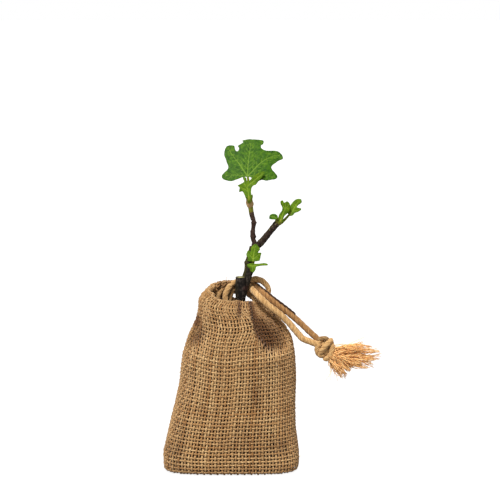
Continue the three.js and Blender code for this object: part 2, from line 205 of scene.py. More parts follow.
class Bag:
    """Collects parts of one mesh."""
    def __init__(self):
        self.V, self.Q, self.T, self.A, self.UQ, self.UT, self.n = [], [], [], {}, [], [], 0

    def add(self, V, quads=None, tris=None, **attrs):
        V = np.asarray(V, float).reshape(-1, 3)
        if quads is not None and len(quads):
            self.Q.append(np.asarray(quads, np.int64).reshape(-1, 4) + self.n)
        if tris is not None and len(tris):
            self.T.append(np.asarray(tris, np.int64).reshape(-1, 3) + self.n)
        self.V.append(V)
        for k, a in attrs.items():
            a = np.asarray(a, float)
            a = np.full((len(V), 1), a) if a.ndim == 0 else a.reshape(len(V), -1)
            self.A.setdefault(k, []).append(a)
        self.n += len(V)

    def make(self, name, mat, uv=None, smooth=True):
        return build(name, np.vstack(self.V), np.vstack(self.Q) if self.Q else None, np.vstack(self.T) if self.T else None,
                     mat, {k: np.vstack(a) for k, a in self.A.items()}, uv, smooth)


def tubes(P, N, rn, rb, sides, keep=None, twist=0.0):
    """Tubes along many lines at once. P and N are (lines, samples, 3): places and the direction across; rn and rb are
    the half widths along N and beside it. keep (lines, samples - 1) says which lengths are there. Returns points,
    quads, tris and the angle of each point."""
    L, S = P.shape[:2]
    T = unit(np.gradient(P, axis=1))
    B = unit(np.cross(T, N))
    M = np.cross(B, T)
    th = np.arange(sides) / sides * 2 * np.pi
    ang = th[None, None] + np.zeros((L, S, 1)) + (twist if np.ndim(twist) == 0 else np.asarray(twist)[..., None])
    V = P[:, :, None] + M[:, :, None] * (np.cos(ang) * rn[..., None])[..., None] + B[:, :, None] * (np.sin(ang) * rb[..., None])[..., None]
    idx = np.arange(L * S * sides).reshape(L, S, sides)
    nxt = np.roll(idx, -1, 2)
    q = np.stack([idx[:, :-1], nxt[:, :-1], nxt[:, 1:], idx[:, 1:]], -1)
    keep = np.ones((L, S - 1), bool) if keep is None else keep
    quads = q[keep].reshape(-1, 4)
    before = np.concatenate([np.zeros((L, 1), bool), keep], 1)
    after = np.concatenate([keep, np.zeros((L, 1), bool)], 1)
    tris = []
    for mask, flip in ((after & ~before, True), (before & ~after, False)):
        r = idx[mask]
        for k in range(1, sides - 1):
            t = np.stack([r[:, 0], r[:, k], r[:, k + 1]], -1)
            tris.append(t[:, ::-1] if flip else t)
    return V.reshape(-1, 3), quads, np.vstack(tris), np.broadcast_to(th, (L, S, sides)).reshape(-1)


def strip_uv(L, S, sides, keep, ntris):
    """Corner coordinates that lay each tube of a set out as its own strip of one square."""
    l, s, k = np.meshgrid(np.arange(L), np.arange(S - 1), np.arange(sides), indexing="ij")
    pad = 0.06 / L
    def vv(i):
        return (l + i / sides) / L * (1 - 0.0) + pad * (1 - 2 * i / sides)
    q = np.stack([np.stack([s / (S - 1), vv(k)], -1), np.stack([s / (S - 1), vv(k + 1)], -1),
                  np.stack([(s + 1) / (S - 1), vv(k + 1)], -1), np.stack([(s + 1) / (S - 1), vv(k)], -1)], -2)
    q = q[keep].reshape(-1, 2)
    return np.vstack([q, np.zeros((ntris * 3, 2)) + 0.001])


def grid_quads(rows, cols, wrap=False):
    i, j = np.meshgrid(np.arange(rows - 1), np.arange(cols if wrap else cols - 1), indexing="ij")
    a, b = i * cols + j, i * cols + (j + 1) % cols
    return np.stack([a, b, b + cols, a + cols], -1).reshape(-1, 4)


def frames(P, start=None):
    """A direction across a line that doesn't turn about it."""
    T = unit(np.gradient(P, axis=0))
    n = np.array([0.0, -1.0, 0.0]) if start is None else np.asarray(start, float)
    out = []
    for t in T:
        n = n - t * np.dot(n, t)
        n = n / np.linalg.norm(n)
        out.append(n)
    return np.array(out)


def done(piece, slot, *nodes):
    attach(piece, "root")
    if nodes:
        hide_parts(*nodes)
    return piece


# ------------------------------------------------------------------ materials
def lin(r, g, b):
    def f(c):
        c /= 255.0
        return c / 12.92 if c <= 0.04045 else ((c + 0.055) / 1.055) ** 2.4
    return (f(r), f(g), f(b), 1.0)


class Mat:
    """Short writing for a node material."""
    def __init__(self, name, rough=0.8, spec=0.3):
        self.m = bpy.data.materials.new(name)
        self.m.use_nodes = True
        self.t = self.m.node_tree
        self.b = self.t.nodes["Principled BSDF"]
        self.b.inputs["Roughness"].default_value = rough
        self.b.inputs["Specular IOR Level"].default_value = spec

    def put(self, kind, **inputs):
        n = self.t.nodes.new(kind)
        for k, v in inputs.items():
            self.link(v, n.inputs[k.replace("_", " ")])
        return n

    def link(self, v, socket):
        if isinstance(v, bpy.types.NodeSocket):
            self.t.links.new(v, socket)
        else:
            socket.default_value = v

    def attr(self, name, out="Fac"):
        n = self.t.nodes.new("ShaderNodeAttribute")
        n.attribute_name = name
        return n.outputs[out]

    def obj(self, scale=1.0):
        n = self.t.nodes.new("ShaderNodeTexCoord")
        return n.outputs["Object"]

    def noise(self, vec, scale, detail=3.0, rough=0.55, distort=0.0):
        n = self.t.nodes.new("ShaderNodeTexNoise")
        self.t.links.new(vec, n.inputs["Vector"])
        for k, v in (("Scale", scale), ("Detail", detail), ("Roughness", rough), ("Distortion", distort)):
            n.inputs[k].default_value = v
        return n.outputs["Fac"]

    def ramp(self, fac, stops):
        n = self.t.nodes.new("ShaderNodeValToRGB")
        self.link(fac, n.inputs["Fac"])
        e = n.color_ramp.elements
        e[0].position, e[0].color = stops[0]
        e[1].position, e[1].color = stops[-1]
        for p, c in stops[1:-1]:
            x = e.new(p)
            x.color = c
        return n.outputs["Color"]

    def mix(self, fac, a, b, mode="MIX"):
        n = self.t.nodes.new("ShaderNodeMix")
        n.data_type = "RGBA"
        n.blend_type = mode
        self.link(fac, n.inputs[0])
        self.link(a, n.inputs[6])
        self.link(b, n.inputs[7])
        return n.outputs[2]

    def math(self, op, a, b=0.0, c=0.0, clamp=False):
        n = self.t.nodes.new("ShaderNodeMath")
        n.operation = op
        n.use_clamp = clamp
        for i, v in enumerate((a, b, c)):
            self.link(v, n.inputs[i])
        return n.outputs[0]

    def scale_vec(self, vec, s):
        n = self.t.nodes.new("ShaderNodeVectorMath")
        n.operation = "MULTIPLY"
        self.t.links.new(vec, n.inputs[0])
        n.inputs[1].default_value = s
        return n.outputs[0]

    def bump(self, height, distance, strength=1.0):
        n = self.t.nodes.new("ShaderNodeBump")
        n.inputs["Strength"].default_value = strength
        n.inputs["Distance"].default_value = distance
        self.t.links.new(height, n.inputs["Height"])
        self.t.links.new(n.outputs["Normal"], self.b.inputs["Normal"])

    def color(self, c):
        self.link(c, self.b.inputs["Base Color"])

    def rough(self, c):
        self.link(c, self.b.inputs["Roughness"])


def burlap_material():
    m = Mat("burlap", 0.92, 0.15)
    yarn = m.attr("yarn", "Vector")
    fib = m.noise(m.scale_vec(yarn, (1.0, 1.0, 1.0)), 2.6, 4, 0.6)
    broad = m.noise(m.obj(), 55, 3, 0.5)
    base = m.ramp(fib, [(0.3, lin(116, 82, 43)), (0.5, lin(184, 147, 98)), (0.7, lin(234, 204, 154))])
    base = m.mix(m.attr("tint"), m.mix(1.0, base, lin(198, 170, 136), "MULTIPLY"), base)
    base = m.mix(m.math("MULTIPLY", broad, 0.25), base, lin(150, 112, 66))
    # darker brown by a point attribute: real stains, and painted shade in the folds and inside the mouth
    base = m.mix(m.attr("stain"), base, m.mix(fib, lin(50, 25, 6), lin(112, 68, 27)))
    m.color(base)
    m.bump(fib, 0.00022, 0.7)
    m.b.inputs["Sheen Weight"].default_value = 0.12
    m.b.inputs["Sheen Roughness"].default_value = 0.6
    return m.m


def fuzz_material(name, a, b):
    m = Mat(name, 0.8, 0.25)
    m.color(m.mix(m.noise(m.obj(), 300, 2), a, b))
    return m.m


def soil_material():
    m = Mat("soil", 0.95, 0.2)
    n = m.noise(m.obj(), 420, 5, 0.65)
    m.color(m.ramp(n, [(0.32, lin(34, 19, 8)), (0.55, lin(60, 37, 18)), (0.75, lin(92, 62, 34))]))
    m.bump(n, 0.0006, 0.8)
    return m.m


def bark_material():
    m = Mat("bark", 0.75, 0.15)
    o = m.obj()
    n = m.noise(o, 420, 5, 0.6)
    streak = m.noise(m.scale_vec(o, (1.0, 1.0, 0.22)), 900, 3, 0.6)
    dark = m.ramp(m.math("ADD", m.math("MULTIPLY", n, 0.6), m.math("MULTIPLY", streak, 0.4)),
                  [(0.34, lin(7, 5, 4)), (0.5, lin(23, 19, 16)), (0.64, lin(74, 65, 58))])
    c = m.mix(m.attr("olive"), dark, m.mix(n, lin(44, 42, 16), lin(88, 82, 36)))
    c = m.mix(m.attr("plum"), c, lin(92, 36, 44))
    c = m.mix(m.attr("brown"), c, m.mix(n, lin(28, 17, 15), lin(78, 52, 42)))
    c = m.mix(m.attr("pale"), c, m.mix(n, lin(150, 146, 84), lin(196, 188, 122)))
    m.color(c)
    m.bump(n, 0.0003, 0.7)
    return m.m


def stem_material():
    m = Mat("green_stem", 0.6, 0.15)
    o = m.obj()
    n = m.noise(o, 500, 4, 0.6)
    streak = m.noise(m.scale_vec(o, (1.0, 1.0, 0.15)), 1200, 2, 0.5)
    c = m.mix(n, lin(84, 102, 10), lin(136, 150, 34))
    c = m.mix(m.attr("olive"), c, m.mix(streak, lin(72, 72, 18), lin(124, 118, 44)))
    c = m.mix(m.attr("pale"), c, m.mix(streak, lin(150, 116, 76), lin(196, 164, 116)))
    c = m.mix(m.attr("brown"), c, m.mix(n, lin(52, 32, 18), lin(104, 74, 44)))
    m.color(c)
    m.bump(streak, 0.00015, 0.6)
    m.b.inputs["Subsurface Weight"].default_value = 0.08
    m.b.inputs["Subsurface Radius"].default_value = (0.0006, 0.001, 0.0003)
    return m.m


def leaf_material(name, deep, mid, light, vein):
    m = Mat(name, 0.6, 0.12)
    o = m.obj()
    n = m.noise(o, 420, 4, 0.6)
    fine = m.noise(o, 1500, 3, 0.65)
    c = m.ramp(n, [(0.34, deep), (0.52, mid), (0.7, light)])
    c = m.mix(m.math("MULTIPLY", m.attr("young"), 0.7), c, light)
    c = m.mix(m.ramp(fine, [(0.38, (0, 0, 0, 1)), (0.62, (0.4, 0.4, 0.4, 1))]), c, deep)
    c = m.mix(m.attr("vein"), c, vein)
    m.color(c)
    m.bump(fine, 0.00012, 0.5)
    m.b.inputs["Subsurface Weight"].default_value = 0.1
    m.b.inputs["Subsurface Radius"].default_value = (0.0004, 0.001, 0.0002)
    return m.m


def cord_material(name, dark, mid, light):
    m = Mat(name, 0.9, 0.2)
    yarn = m.attr("yarn", "Vector")
    fib = m.noise(yarn, 3.2, 4, 0.62)
    fine = m.noise(yarn, 9.0, 2, 0.6)
    c = m.ramp(m.math("ADD", m.math("MULTIPLY", fib, 0.65), m.math("MULTIPLY", fine, 0.35)), [(0.32, dark), (0.5, mid), (0.68, light)])
    # painted shade: darker in the grooves between the plies; on the tassel the same attribute gives each fibre a random
    # darker tone
    c = m.mix(m.attr("groove"), c, dark)
    # a point attribute that darkens: painted shade on the thin strand along the back strand, a darker tone on the other
    # cords, knot bands and tassel roots
    c = m.mix(m.attr("stain"), c, lin(52, 30, 14))
    m.color(c)
    m.bump(fine, 0.00025, 0.8)
    m.b.inputs["Sheen Weight"].default_value = 0.12
    return m.m


BURLAP = burlap_material()
FUZZ = fuzz_material("burlap_fuzz", lin(150, 116, 72), lin(196, 160, 106))
SOIL = soil_material()
BARK = bark_material()
STEM = stem_material()
LEAF = leaf_material("leaf", lin(32, 68, 2), lin(56, 95, 5), lin(82, 118, 11), lin(120, 150, 48))
YOUNG = leaf_material("young_leaf", lin(42, 74, 1), lin(72, 105, 4), lin(108, 136, 14), lin(132, 156, 50))
CORD = cord_material("jute_cord", lin(118, 82, 43), lin(188, 147, 95), lin(226, 192, 138))
# a darker copy of the cord's colours: painted shade for the strand that lies behind the front strand
CORD_SHADED = cord_material("jute_cord_shaded", lin(78, 50, 26), lin(150, 108, 64), lin(196, 154, 102))
FRAY = cord_material("frayed_jute", lin(190, 116, 56), lin(250, 198, 128), lin(255, 230, 172))

# ------------------------------------------------------------------ pouch: the surface that the threads follow
BAG_HEIGHT = 131.0
PROFILE = np.array([
    [0.0, -48.6, 48.4, -20.4, 18.0], [0.022, -51.0, 50.6, -22.4, 20.4], [0.1, -51.1, 50.6, -23.6, 22.6],
    [0.25, -46.6, 48.8, -25.4, 25.0], [0.4, -41.8, 48.2, -26.2, 26.0], [0.55, -38.6, 48.4, -26.6, 26.2],
    [0.68, -36.2, 47.5, -26.2, 25.2], [0.78, -32.2, 45.2, -25.2, 23.5], [0.86, -27.0, 41.0, -23.6, 21.0],
    [0.91, -25.0, 35.8, -21.8, 18.6], [0.95, -24.4, 27.8, -19.6, 16.0], [0.98, -22.4, 22.8, -17.6, 13.6],
    [1.0, -18.6, 20.0, -15.6, 11.8]])
RIM_RISE = np.array([[0, -4.8], [14, -4.2], [28, -1.2], [44, 4.0], [75, 9.2], [110, 9.6], [150, 7.6], [180, 4.6], [212, 1.6], [240, -1.2], [260, -1.7], [278, -1.9], [290, -2.2], [305, -2.9], [318, -4.0], [332, -5.0], [342, -5.0], [352, -4.9], [360, -4.8]], float)
# folds: for each, stations of (share of height, bearing, half width in degrees, depth in mm)
FOLDS = [
    [(0.66, 204, 10, 0), (0.78, 200, 7, 1.4), (0.88, 197, 5, 2.6), (1.0, 203, 6, 2.4)],
    [(0.72, 333, 8, 0), (0.84, 332, 6, 2.2), (0.94, 337, 5, 3.6), (1.0, 340, 5, 2.8)],
    [(0.76, 12, 7, 0), (0.9, 10, 5, 3.0), (1.0, 8, 5, 0.8)],
    [(0.74, 42, 7, 0), (0.9, 40, 5, 3.8), (1.0, 40, 5, 2.6)],
    [(0.70, 72, 7, 0), (0.88, 71, 4.6, 5.0), (1.0, 72, 4.6, 3.2)],
    [(0.68, 98, 7, 0), (0.88, 100, 4.4, 5.6), (1.0, 101, 4.6, 4.4)],
    [(0.74, 118, 7, 0), (0.9, 116, 4, 3.6), (1.0, 115, 4.4, 3.8)],
    [(0.70, 136, 7, 0), (0.88, 134, 5, 4.8), (1.0, 134, 5, 2.8)],
    [(0.76, 160, 7, 0), (0.9, 162, 5, 3.8), (1.0, 162, 5, 2.4)],
]
FOLDS = [np.array(f, float) for f in FOLDS]
PIT = (198.0, 0.865, 4.0, 0.03, 7.5)       # the dark pocket at the left: bearing, height, half sizes, depth
# creases of the front: stations of height z, place x, depth, width to the left and to the right, in mm
CREASES = [
    [(98, 24.6, 0, 3, 3), (101.0, 22.6, 3.0, 2.4, 3), (105.5, 20.0, 7.0, 1.6, 3), (110.3, 18.0, 10.0, 1.1, 3), (116.6, 16.4, 11.0, 0.9, 3.0),
     (122.2, 15.3, 10.5, 0.9, 3.0), (127.6, 14.0, 8.5, 0.9, 2.6), (131.3, 12.8, 5.5, 0.9, 2.2), (136, 12.2, 3.6, 1.0, 2.2)],
    [(112, 7.6, 0, 2, 2), (117, 7.4, 1.6, 2.2, 1.3), (122.2, 7.2, 3.4, 2.2, 1.2), (126.3, 6.6, 4.0, 2.2, 1.2), (130.4, 5.2, 3.4, 2.0, 1.4), (136, 4.6, 2.2, 1.8, 2)],
    [(104, -14.5, 0, 4, 2.4), (110, -12.0, 1.3, 4, 2.4), (118, -9.6, 1.5, 3.4, 2.0), (124, -6.6, 1.0, 3, 2.0), (130, -5.0, 0.8, 2.6, 2.2)],
    [(112, 27.5, 0, 2.4, 3), (117, 25.4, 1.8, 2.0, 2.6), (122, 23.0, 2.6, 1.8, 2.2), (127, 20.4, 2.4, 1.8, 2.0), (131, 18.6, 1.6, 1.8, 2.0)],
]
CREASES = [np.array(c, float) for c in CREASES]
# hollows (inward) and swells (outward) of the front: x, z, half sizes, lean, depth
BLOBS = [(-24.5, 102.0, 6.5, 8.0, 0.5, 5.0), (-18.5, 121.0, 7.5, 8.5, 0.0, -1.6), (5.5, 110.0, 9.0, 15.0, -0.1, -1.9),
         (-30.0, 84.0, 7.0, 9.0, 0.4, -0.9), (26.0, 87.0, 14.0, 5.0, 0.2, -1.2), (12.0, 52.0, 16.0, 5.0, 0.5, 0.9), (-20.0, 44.0, 12.0, 6.0, -0.4, 0.8)]
# the hollow right of the main crease: its lower lip as height over x, and its depth over x and over the height above the lip
LIP = np.array([(12, 118), (16, 112), (20.4, 104), (25.5, 97.6), (32, 94), (38, 94.6), (46, 101), (52, 106)], float)
LIP_DEPTH = np.array([(14, 9.0), (18, 10.5), (22, 10.2), (27, 8.6), (33, 6.2), (39, 3.6), (45, 1.2), (49, 0)], float)
LIP_FALL = np.array([(-6, 0), (-3.6, 0.12), (-1.6, 0.6), (0.3, 0.98), (2, 1.0), (9, 0.74), (16, 0.42), (24, 0.14), (32, 0)], float)


def folds(bearing, v, plain=0):
    d = np.zeros(np.broadcast(bearing, v).shape)
    for f in FOLDS if plain < 2 else ():
        mid, wide, deep = (np.interp(v, f[:, 0], f[:, k], left=f[0, k]) for k in (1, 2, 3))
        off = (bearing - mid + 540) % 360 - 180
        d = d + deep * np.exp(-(off / wide) ** 2)
    if plain:
        return d
    off = (bearing - PIT[0] + 540) % 360 - 180
    return d + PIT[4] * np.exp(-(off / PIT[2]) ** 2 - ((v - PIT[1]) / PIT[3]) ** 2)


def relief(p, front, plain=0):
    """How far the front is pressed in at places p; front is 1 on the front panel."""
    x, z = p[..., 0], p[..., 2]
    d = np.zeros(x.shape)
    for n, c in enumerate(CREASES if plain < 2 else ()):
        mid, deep, left, right = (np.interp(z, c[:, 0], c[:, k]) for k in (1, 2, 3, 4))
        off = x - mid
        d = np.maximum(d, deep * np.where(off < 0, np.exp(-(off / left) ** 2), np.exp(-np.abs(off / right) ** 1.5)))
        if n == 0 and not plain:
            above = z - np.interp(x, LIP[:, 0], LIP[:, 1])
            hollow = np.interp(x, LIP_DEPTH[:, 0], LIP_DEPTH[:, 1]) * np.interp(above, LIP_FALL[:, 0], LIP_FALL[:, 1])
            d = np.maximum(d, hollow * ease(-1.2, 0.6, off))
    if plain:
        return d * front
    for bx, bz, rx, rz, lean, deep in BLOBS:
        u, w = x - bx - lean * (z - bz), z - bz
        d = d + deep * np.exp(-(u / rx) ** 2 - (w / rz) ** 2)
    return d * front


def cloth(bearing, v, inset, rise=0.0, plain=0):
    """Place on the pouch at a bearing in degrees and a share of the height, moved in by inset; plain leaves out the
    hollows (1) or the folds as well (2)."""
    bearing, v, inset = np.broadcast_arrays(np.asarray(bearing, float), np.asarray(v, float), np.asarray(inset, float))
    t = np.radians(bearing)
    c, s = np.cos(t), np.sin(t)
    l, r, f, b = (np.interp(v, PROFILE[:, 0], PROFILE[:, k]) for k in (1, 2, 3, 4))
    square = 2 / (3.4 - 0.8 * ease(0, 0.2, v) - 0.5 * ease(0.2, 0.6, v))
    rx, ry = (r - l) / 2 - inset, np.where(s < 0, -f, b) - inset
    dip = 1 - folds(bearing, v, plain) / np.hypot(rx * c, ry * s)
    x = (l + r) / 2 + rx * np.sign(c) * np.abs(c) ** square * dip
    y = ry * np.sign(s) * np.abs(s) ** square * dip
    z = v * BAG_HEIGHT + np.interp(bearing % 360, RIM_RISE[:, 0], RIM_RISE[:, 1]) * ease(0.72, 1, v) + rise
    p = np.stack([x, y, z], -1)
    # broad, shallow unevenness of the filled cloth
    lump = noise(p * [1, 1, 1], 26, 5) * 0.9 + noise(p, 12, 9) * 0.45
    lump = lump * ease(0.0, 0.06, v) * (1 - 0.6 * ease(0.85, 1, v))
    away = np.stack([c / np.maximum(rx, 1), s / np.maximum(ry, 1), c * 0], -1)
    p = p + unit(away) * lump[..., None]
    p[..., 1] += relief(p, ease(0.0, 0.45, -s), plain)
    return p


# ------------------------------------------------------------------ pouch: threads
WARPS, ROWS, HEM_ROWS, SEG = 50, 46, 7, 4     # warps of one panel, wefts up the wall, wefts of the turned hem
INSET = 0.95                                   # middle of the cloth, under the CAD skin
V0 = 0.009


def panel_net(first):
    """Fine net of the cloth's middle surface over the bearings first to first + 180."""
    fine = np.linspace(first, first + 180, 721)
    outer = np.linspace(V0, 1.0, 161)
    M = WARPS * SEG + 1
    share = np.linspace(0, 1, M)
    beta = []
    for v in outer:
        p = cloth(fine, v, INSET, 0.0, 1)
        # the drawn-in cloth is gathered at the two ends of the front, so its middle keeps an open weave up to the rim
        mids = (fine[1:] + fine[:-1]) / 2
        crowd = 1 + ease(0.74, 0.95, v) * (2.2 * np.exp(-((mids - 190) / 9) ** 2) + 1.5 * np.exp(-((mids - 352) / 8) ** 2))
        s = np.concatenate([[0], np.cumsum(np.linalg.norm(np.diff(p, axis=0), axis=1) * crowd)])
        beta.append(np.interp(share * s[-1], s, fine))
    beta = np.array(beta)
    for _ in range(24):
        beta[1:-1] = 0.25 * beta[:-2] + 0.5 * beta[1:-1] + 0.25 * beta[2:]
    # path up the wall, over the rim and down inside
    turn = np.linspace(0, np.pi, 7)[1:]
    inner = np.linspace(1.0, 0.885, 18)[1:]
    vs = np.concatenate([outer, np.full(len(turn), 1.0), inner])
    ins = np.concatenate([np.full(len(outer), INSET), INSET + 1.05 * (1 - np.cos(turn)), np.full(len(inner), INSET + 2.1)])
    up = np.concatenate([np.zeros(len(outer)), 1.05 * np.sin(turn), np.zeros(len(inner))])
    cord = np.exp(-((vs - 0.958) / 0.02) ** 2)
    ins = ins + np.concatenate([-0.35 * cord[:len(outer)], 0 * turn, 0.9 * cord[-len(inner):]])
    bfull = np.concatenate([beta, np.repeat(beta[-1:], len(turn), 0), np.stack([np.interp(inner, outer, beta[:, k]) for k in range(M)], 1)])
    P = cloth(bfull, vs[:, None], ins[:, None], up[:, None])
    even = cloth(np.linspace(first, first + 180, M)[None], vs[:, None], ins[:, None], up[:, None], 2)
    step = np.linalg.norm(np.diff(even, axis=0), axis=2)
    s = np.concatenate([np.zeros((1, M)), np.cumsum(step, 0)])
    split = s[len(outer) - 1]
    N1, N2 = ROWS * SEG, HEM_ROWS * SEG
    out = np.zeros((N1 + N2 + 1, M, 3))
    par = np.zeros((N1 + N2 + 1, M, 2))
    wob = noise(np.stack(np.broadcast_arrays(np.linspace(0, 4.5, M)[None], np.linspace(0, 5, N1 + 1)[:, None], 0.3 * first), -1), 1.0, 31)
    wob = wob + 0.3 * noise(np.stack(np.broadcast_arrays(np.linspace(0, 11, M)[None], np.linspace(0, 12, N1 + 1)[:, None], 0.3 * first), -1), 1.0, 37)
    for k in range(M):
        t = np.linspace(0, split[k], N1 + 1) + 1.1 * wob[:, k] * np.sin(np.pi * np.linspace(0, 1, N1 + 1)) ** 0.5
        t = np.concatenate([t, np.linspace(split[k], s[-1, k], N2 + 1)[1:]])
        for a in range(3):
            out[:, k, a] = np.interp(t, s[:, k], P[:, k, a])
        par[:, k, 0] = np.interp(t, s[:, k], bfull[:, k])
        par[:, k, 1] = np.interp(t, s[:, k], vs)
    return out, par


def net_normals(Q):
    du, dv = np.gradient(Q, axis=1), np.gradient(Q, axis=0)
    return unit(np.cross(du, dv))


def in_slit(bearing, v):
    """True where the casing is open: a slit at the back right."""
    b = bearing % 360
    return ((b - 63) / 38) ** 2 + ((v - np.interp(b, [30, 45, 78, 95], [0.958, 0.946, 0.918, 0.93])) / 0.025) ** 2 < 1


def bare(bearing, v, inner):
    """True where the turned-in hem is short, so that the open weave of the front lets one see inside."""
    b = bearing % 360
    return inner & (b > 196) & (b < 344) & (v < 0.986)


def panel_threads(side, first):
    Q, par = panel_net(first)
    N = net_normals(Q)
    R, M = Q.shape[:2]
    seed = 11 if first else 51
    g = rng(seed)
    rise = 0.46
    # gathered cloth at the back of the mouth lies close, thread on thread
    close = lambda b, v: 0.42 + 0.09 * ease(0.81, 0.87, v) * ((b % 360 > 20) & (b % 360 < 196))
    # and the drawn-in front stays open
    slim = lambda b, v: 1 - 0.13 * ease(0.72, 0.88, v) * (b % 360 > 196)
    # warps
    cols = np.arange(WARPS) * SEG + SEG // 2
    P, Nn = Q[:, cols].transpose(1, 0, 2), N[:, cols].transpose(1, 0, 2)
    across = unit(np.gradient(Q, axis=1))[:, cols].transpose(1, 0, 2)
    t = (np.arange(R) - SEG / 2) / SEG
    sign = (-1.0) ** np.arange(WARPS)[:, None]
    drift = np.array([noise1(t * 0.21 + 13 * i, seed + i, 2) for i in range(WARPS)]) * 0.32 + g.normal(0, 0.12, (WARPS, 1))
    thick = 1 + 0.22 * np.array([noise1(t * 0.35 + 7 * i, seed + 300 + i, 2) for i in range(WARPS)]) + g.normal(0, 0.11, (WARPS, 1))
    gap = np.linalg.norm(np.gradient(Q, axis=1)[:, cols], axis=2).T * SEG
    pv = par[:, cols].transpose(1, 0, 2)
    rb = np.minimum((0.8 + 0.29 * (close(pv[..., 0], pv[..., 1]) > 0.43)) * thick, gap * close(pv[..., 0], pv[..., 1]))
    rb = rb * slim(pv[..., 0], pv[..., 1])
    rn = 0.47 * thick ** 0.5 * np.clip(0.8 / rb, 1, 1.25) ** 0.5
    P = P + Nn * (0.07 + rise * sign * np.cos(np.pi * t))[..., None] + across * drift[..., None]
    mid = lambda a: 0.5 * (a[:, 1:] + a[:, :-1])
    inner = np.broadcast_to(np.arange(R - 1) > ROWS * SEG + 5, (WARPS, R - 1))
    keep = ~in_slit(mid(pv[..., 0]), mid(pv[..., 1])) & ~bare(mid(pv[..., 0]), mid(pv[..., 1]), inner)
    pieces = []
    for name, data in (("warps", (P, Nn, rn, rb, keep, pv)), ("wefts", None)):
        if data is None:
            rows = np.arange(ROWS + HEM_ROWS) * SEG + SEG // 2
            P, Nn = Q[rows], N[rows]
            along = unit(np.gradient(Q, axis=0))[rows]
            t = (np.arange(M) - SEG / 2) / SEG
            sign = (-1.0) ** np.arange(len(rows))[:, None]
            drift = np.array([noise1(t * 0.17 + 11 * i, seed + 600 + i, 2) for i in range(len(rows))]) * 0.34 + g.normal(0, 0.12, (len(rows), 1))
            thick = 1 + 0.22 * np.array([noise1(t * 0.3 + 5 * i, seed + 900 + i, 2) for i in range(len(rows))]) + g.normal(0, 0.11, (len(rows), 1))
            gap = np.linalg.norm(np.gradient(Q, axis=0)[rows], axis=2) * SEG
            pv = par[rows]
            rb = np.minimum((0.7 + 0.6 * (close(pv[..., 0], pv[..., 1]) > 0.43)) * thick, gap * close(pv[..., 0], pv[..., 1]))
            rb = rb * slim(pv[..., 0], pv[..., 1])
            rn = 0.44 * thick ** 0.5 * np.clip(0.7 / rb, 1, 1.25) ** 0.5
            P = P - Nn * (0.07 + rise * sign * np.cos(np.pi * t))[..., None] + along * drift[..., None]
            inner = np.broadcast_to((rows > ROWS * SEG + 5)[:, None], (len(rows), M - 1))
            keep = ~in_slit(mid(pv[..., 0]), mid(pv[..., 1])) & ~bare(mid(pv[..., 0]), mid(pv[..., 1]), inner)
            seamdip = np.exp(-(np.minimum(np.arange(M), M - 1 - np.arange(M)) / 3.0) ** 2)
            P = P - Nn * (0.6 * seamdip)[None, :, None]
        else:
            P, Nn, rn, rb, keep, pv = data
        sides = 6
        V, quads, tris, ang = tubes(P, Nn, rn, rb, sides, keep)
        L, S = P.shape[:2]
        length = np.concatenate([np.zeros((L, 1)), np.cumsum(np.linalg.norm(np.diff(P, axis=1), axis=2), 1)], 1)
        w = ang - np.repeat(length.reshape(-1), sides) / 3.6 * 2 * np.pi
        yarn = np.stack([np.cos(w), np.sin(w), np.repeat(length.reshape(-1), sides) * 0.22 + np.repeat(np.arange(L) * 9.7, S * sides)], -1)
        along = np.stack(np.broadcast_arrays(np.arange(S)[None] * 0.16, np.arange(L)[:, None] * 0.9, 3.0 * first / 180), -1)
        tone = np.clip(0.62 + g.normal(0, 0.24, (L, 1)) + 0.42 * noise(along, 1.0, seed + 5, 2), 0, 1)
        tint = np.repeat(tone.reshape(-1), sides)
        stain = bag_stain_and_shade(P)
        stain = np.repeat(stain.reshape(-1), sides)
        uv = strip_uv(L, S, sides, keep, len(tris))
        o = build(f"pouch_{side}_{name}", V, quads, tris, BURLAP, {"yarn": yarn, "tint": tint, "stain": stain}, uv)
        pieces.append(done(o, "burlap", "bag"))
    return Q, N, par


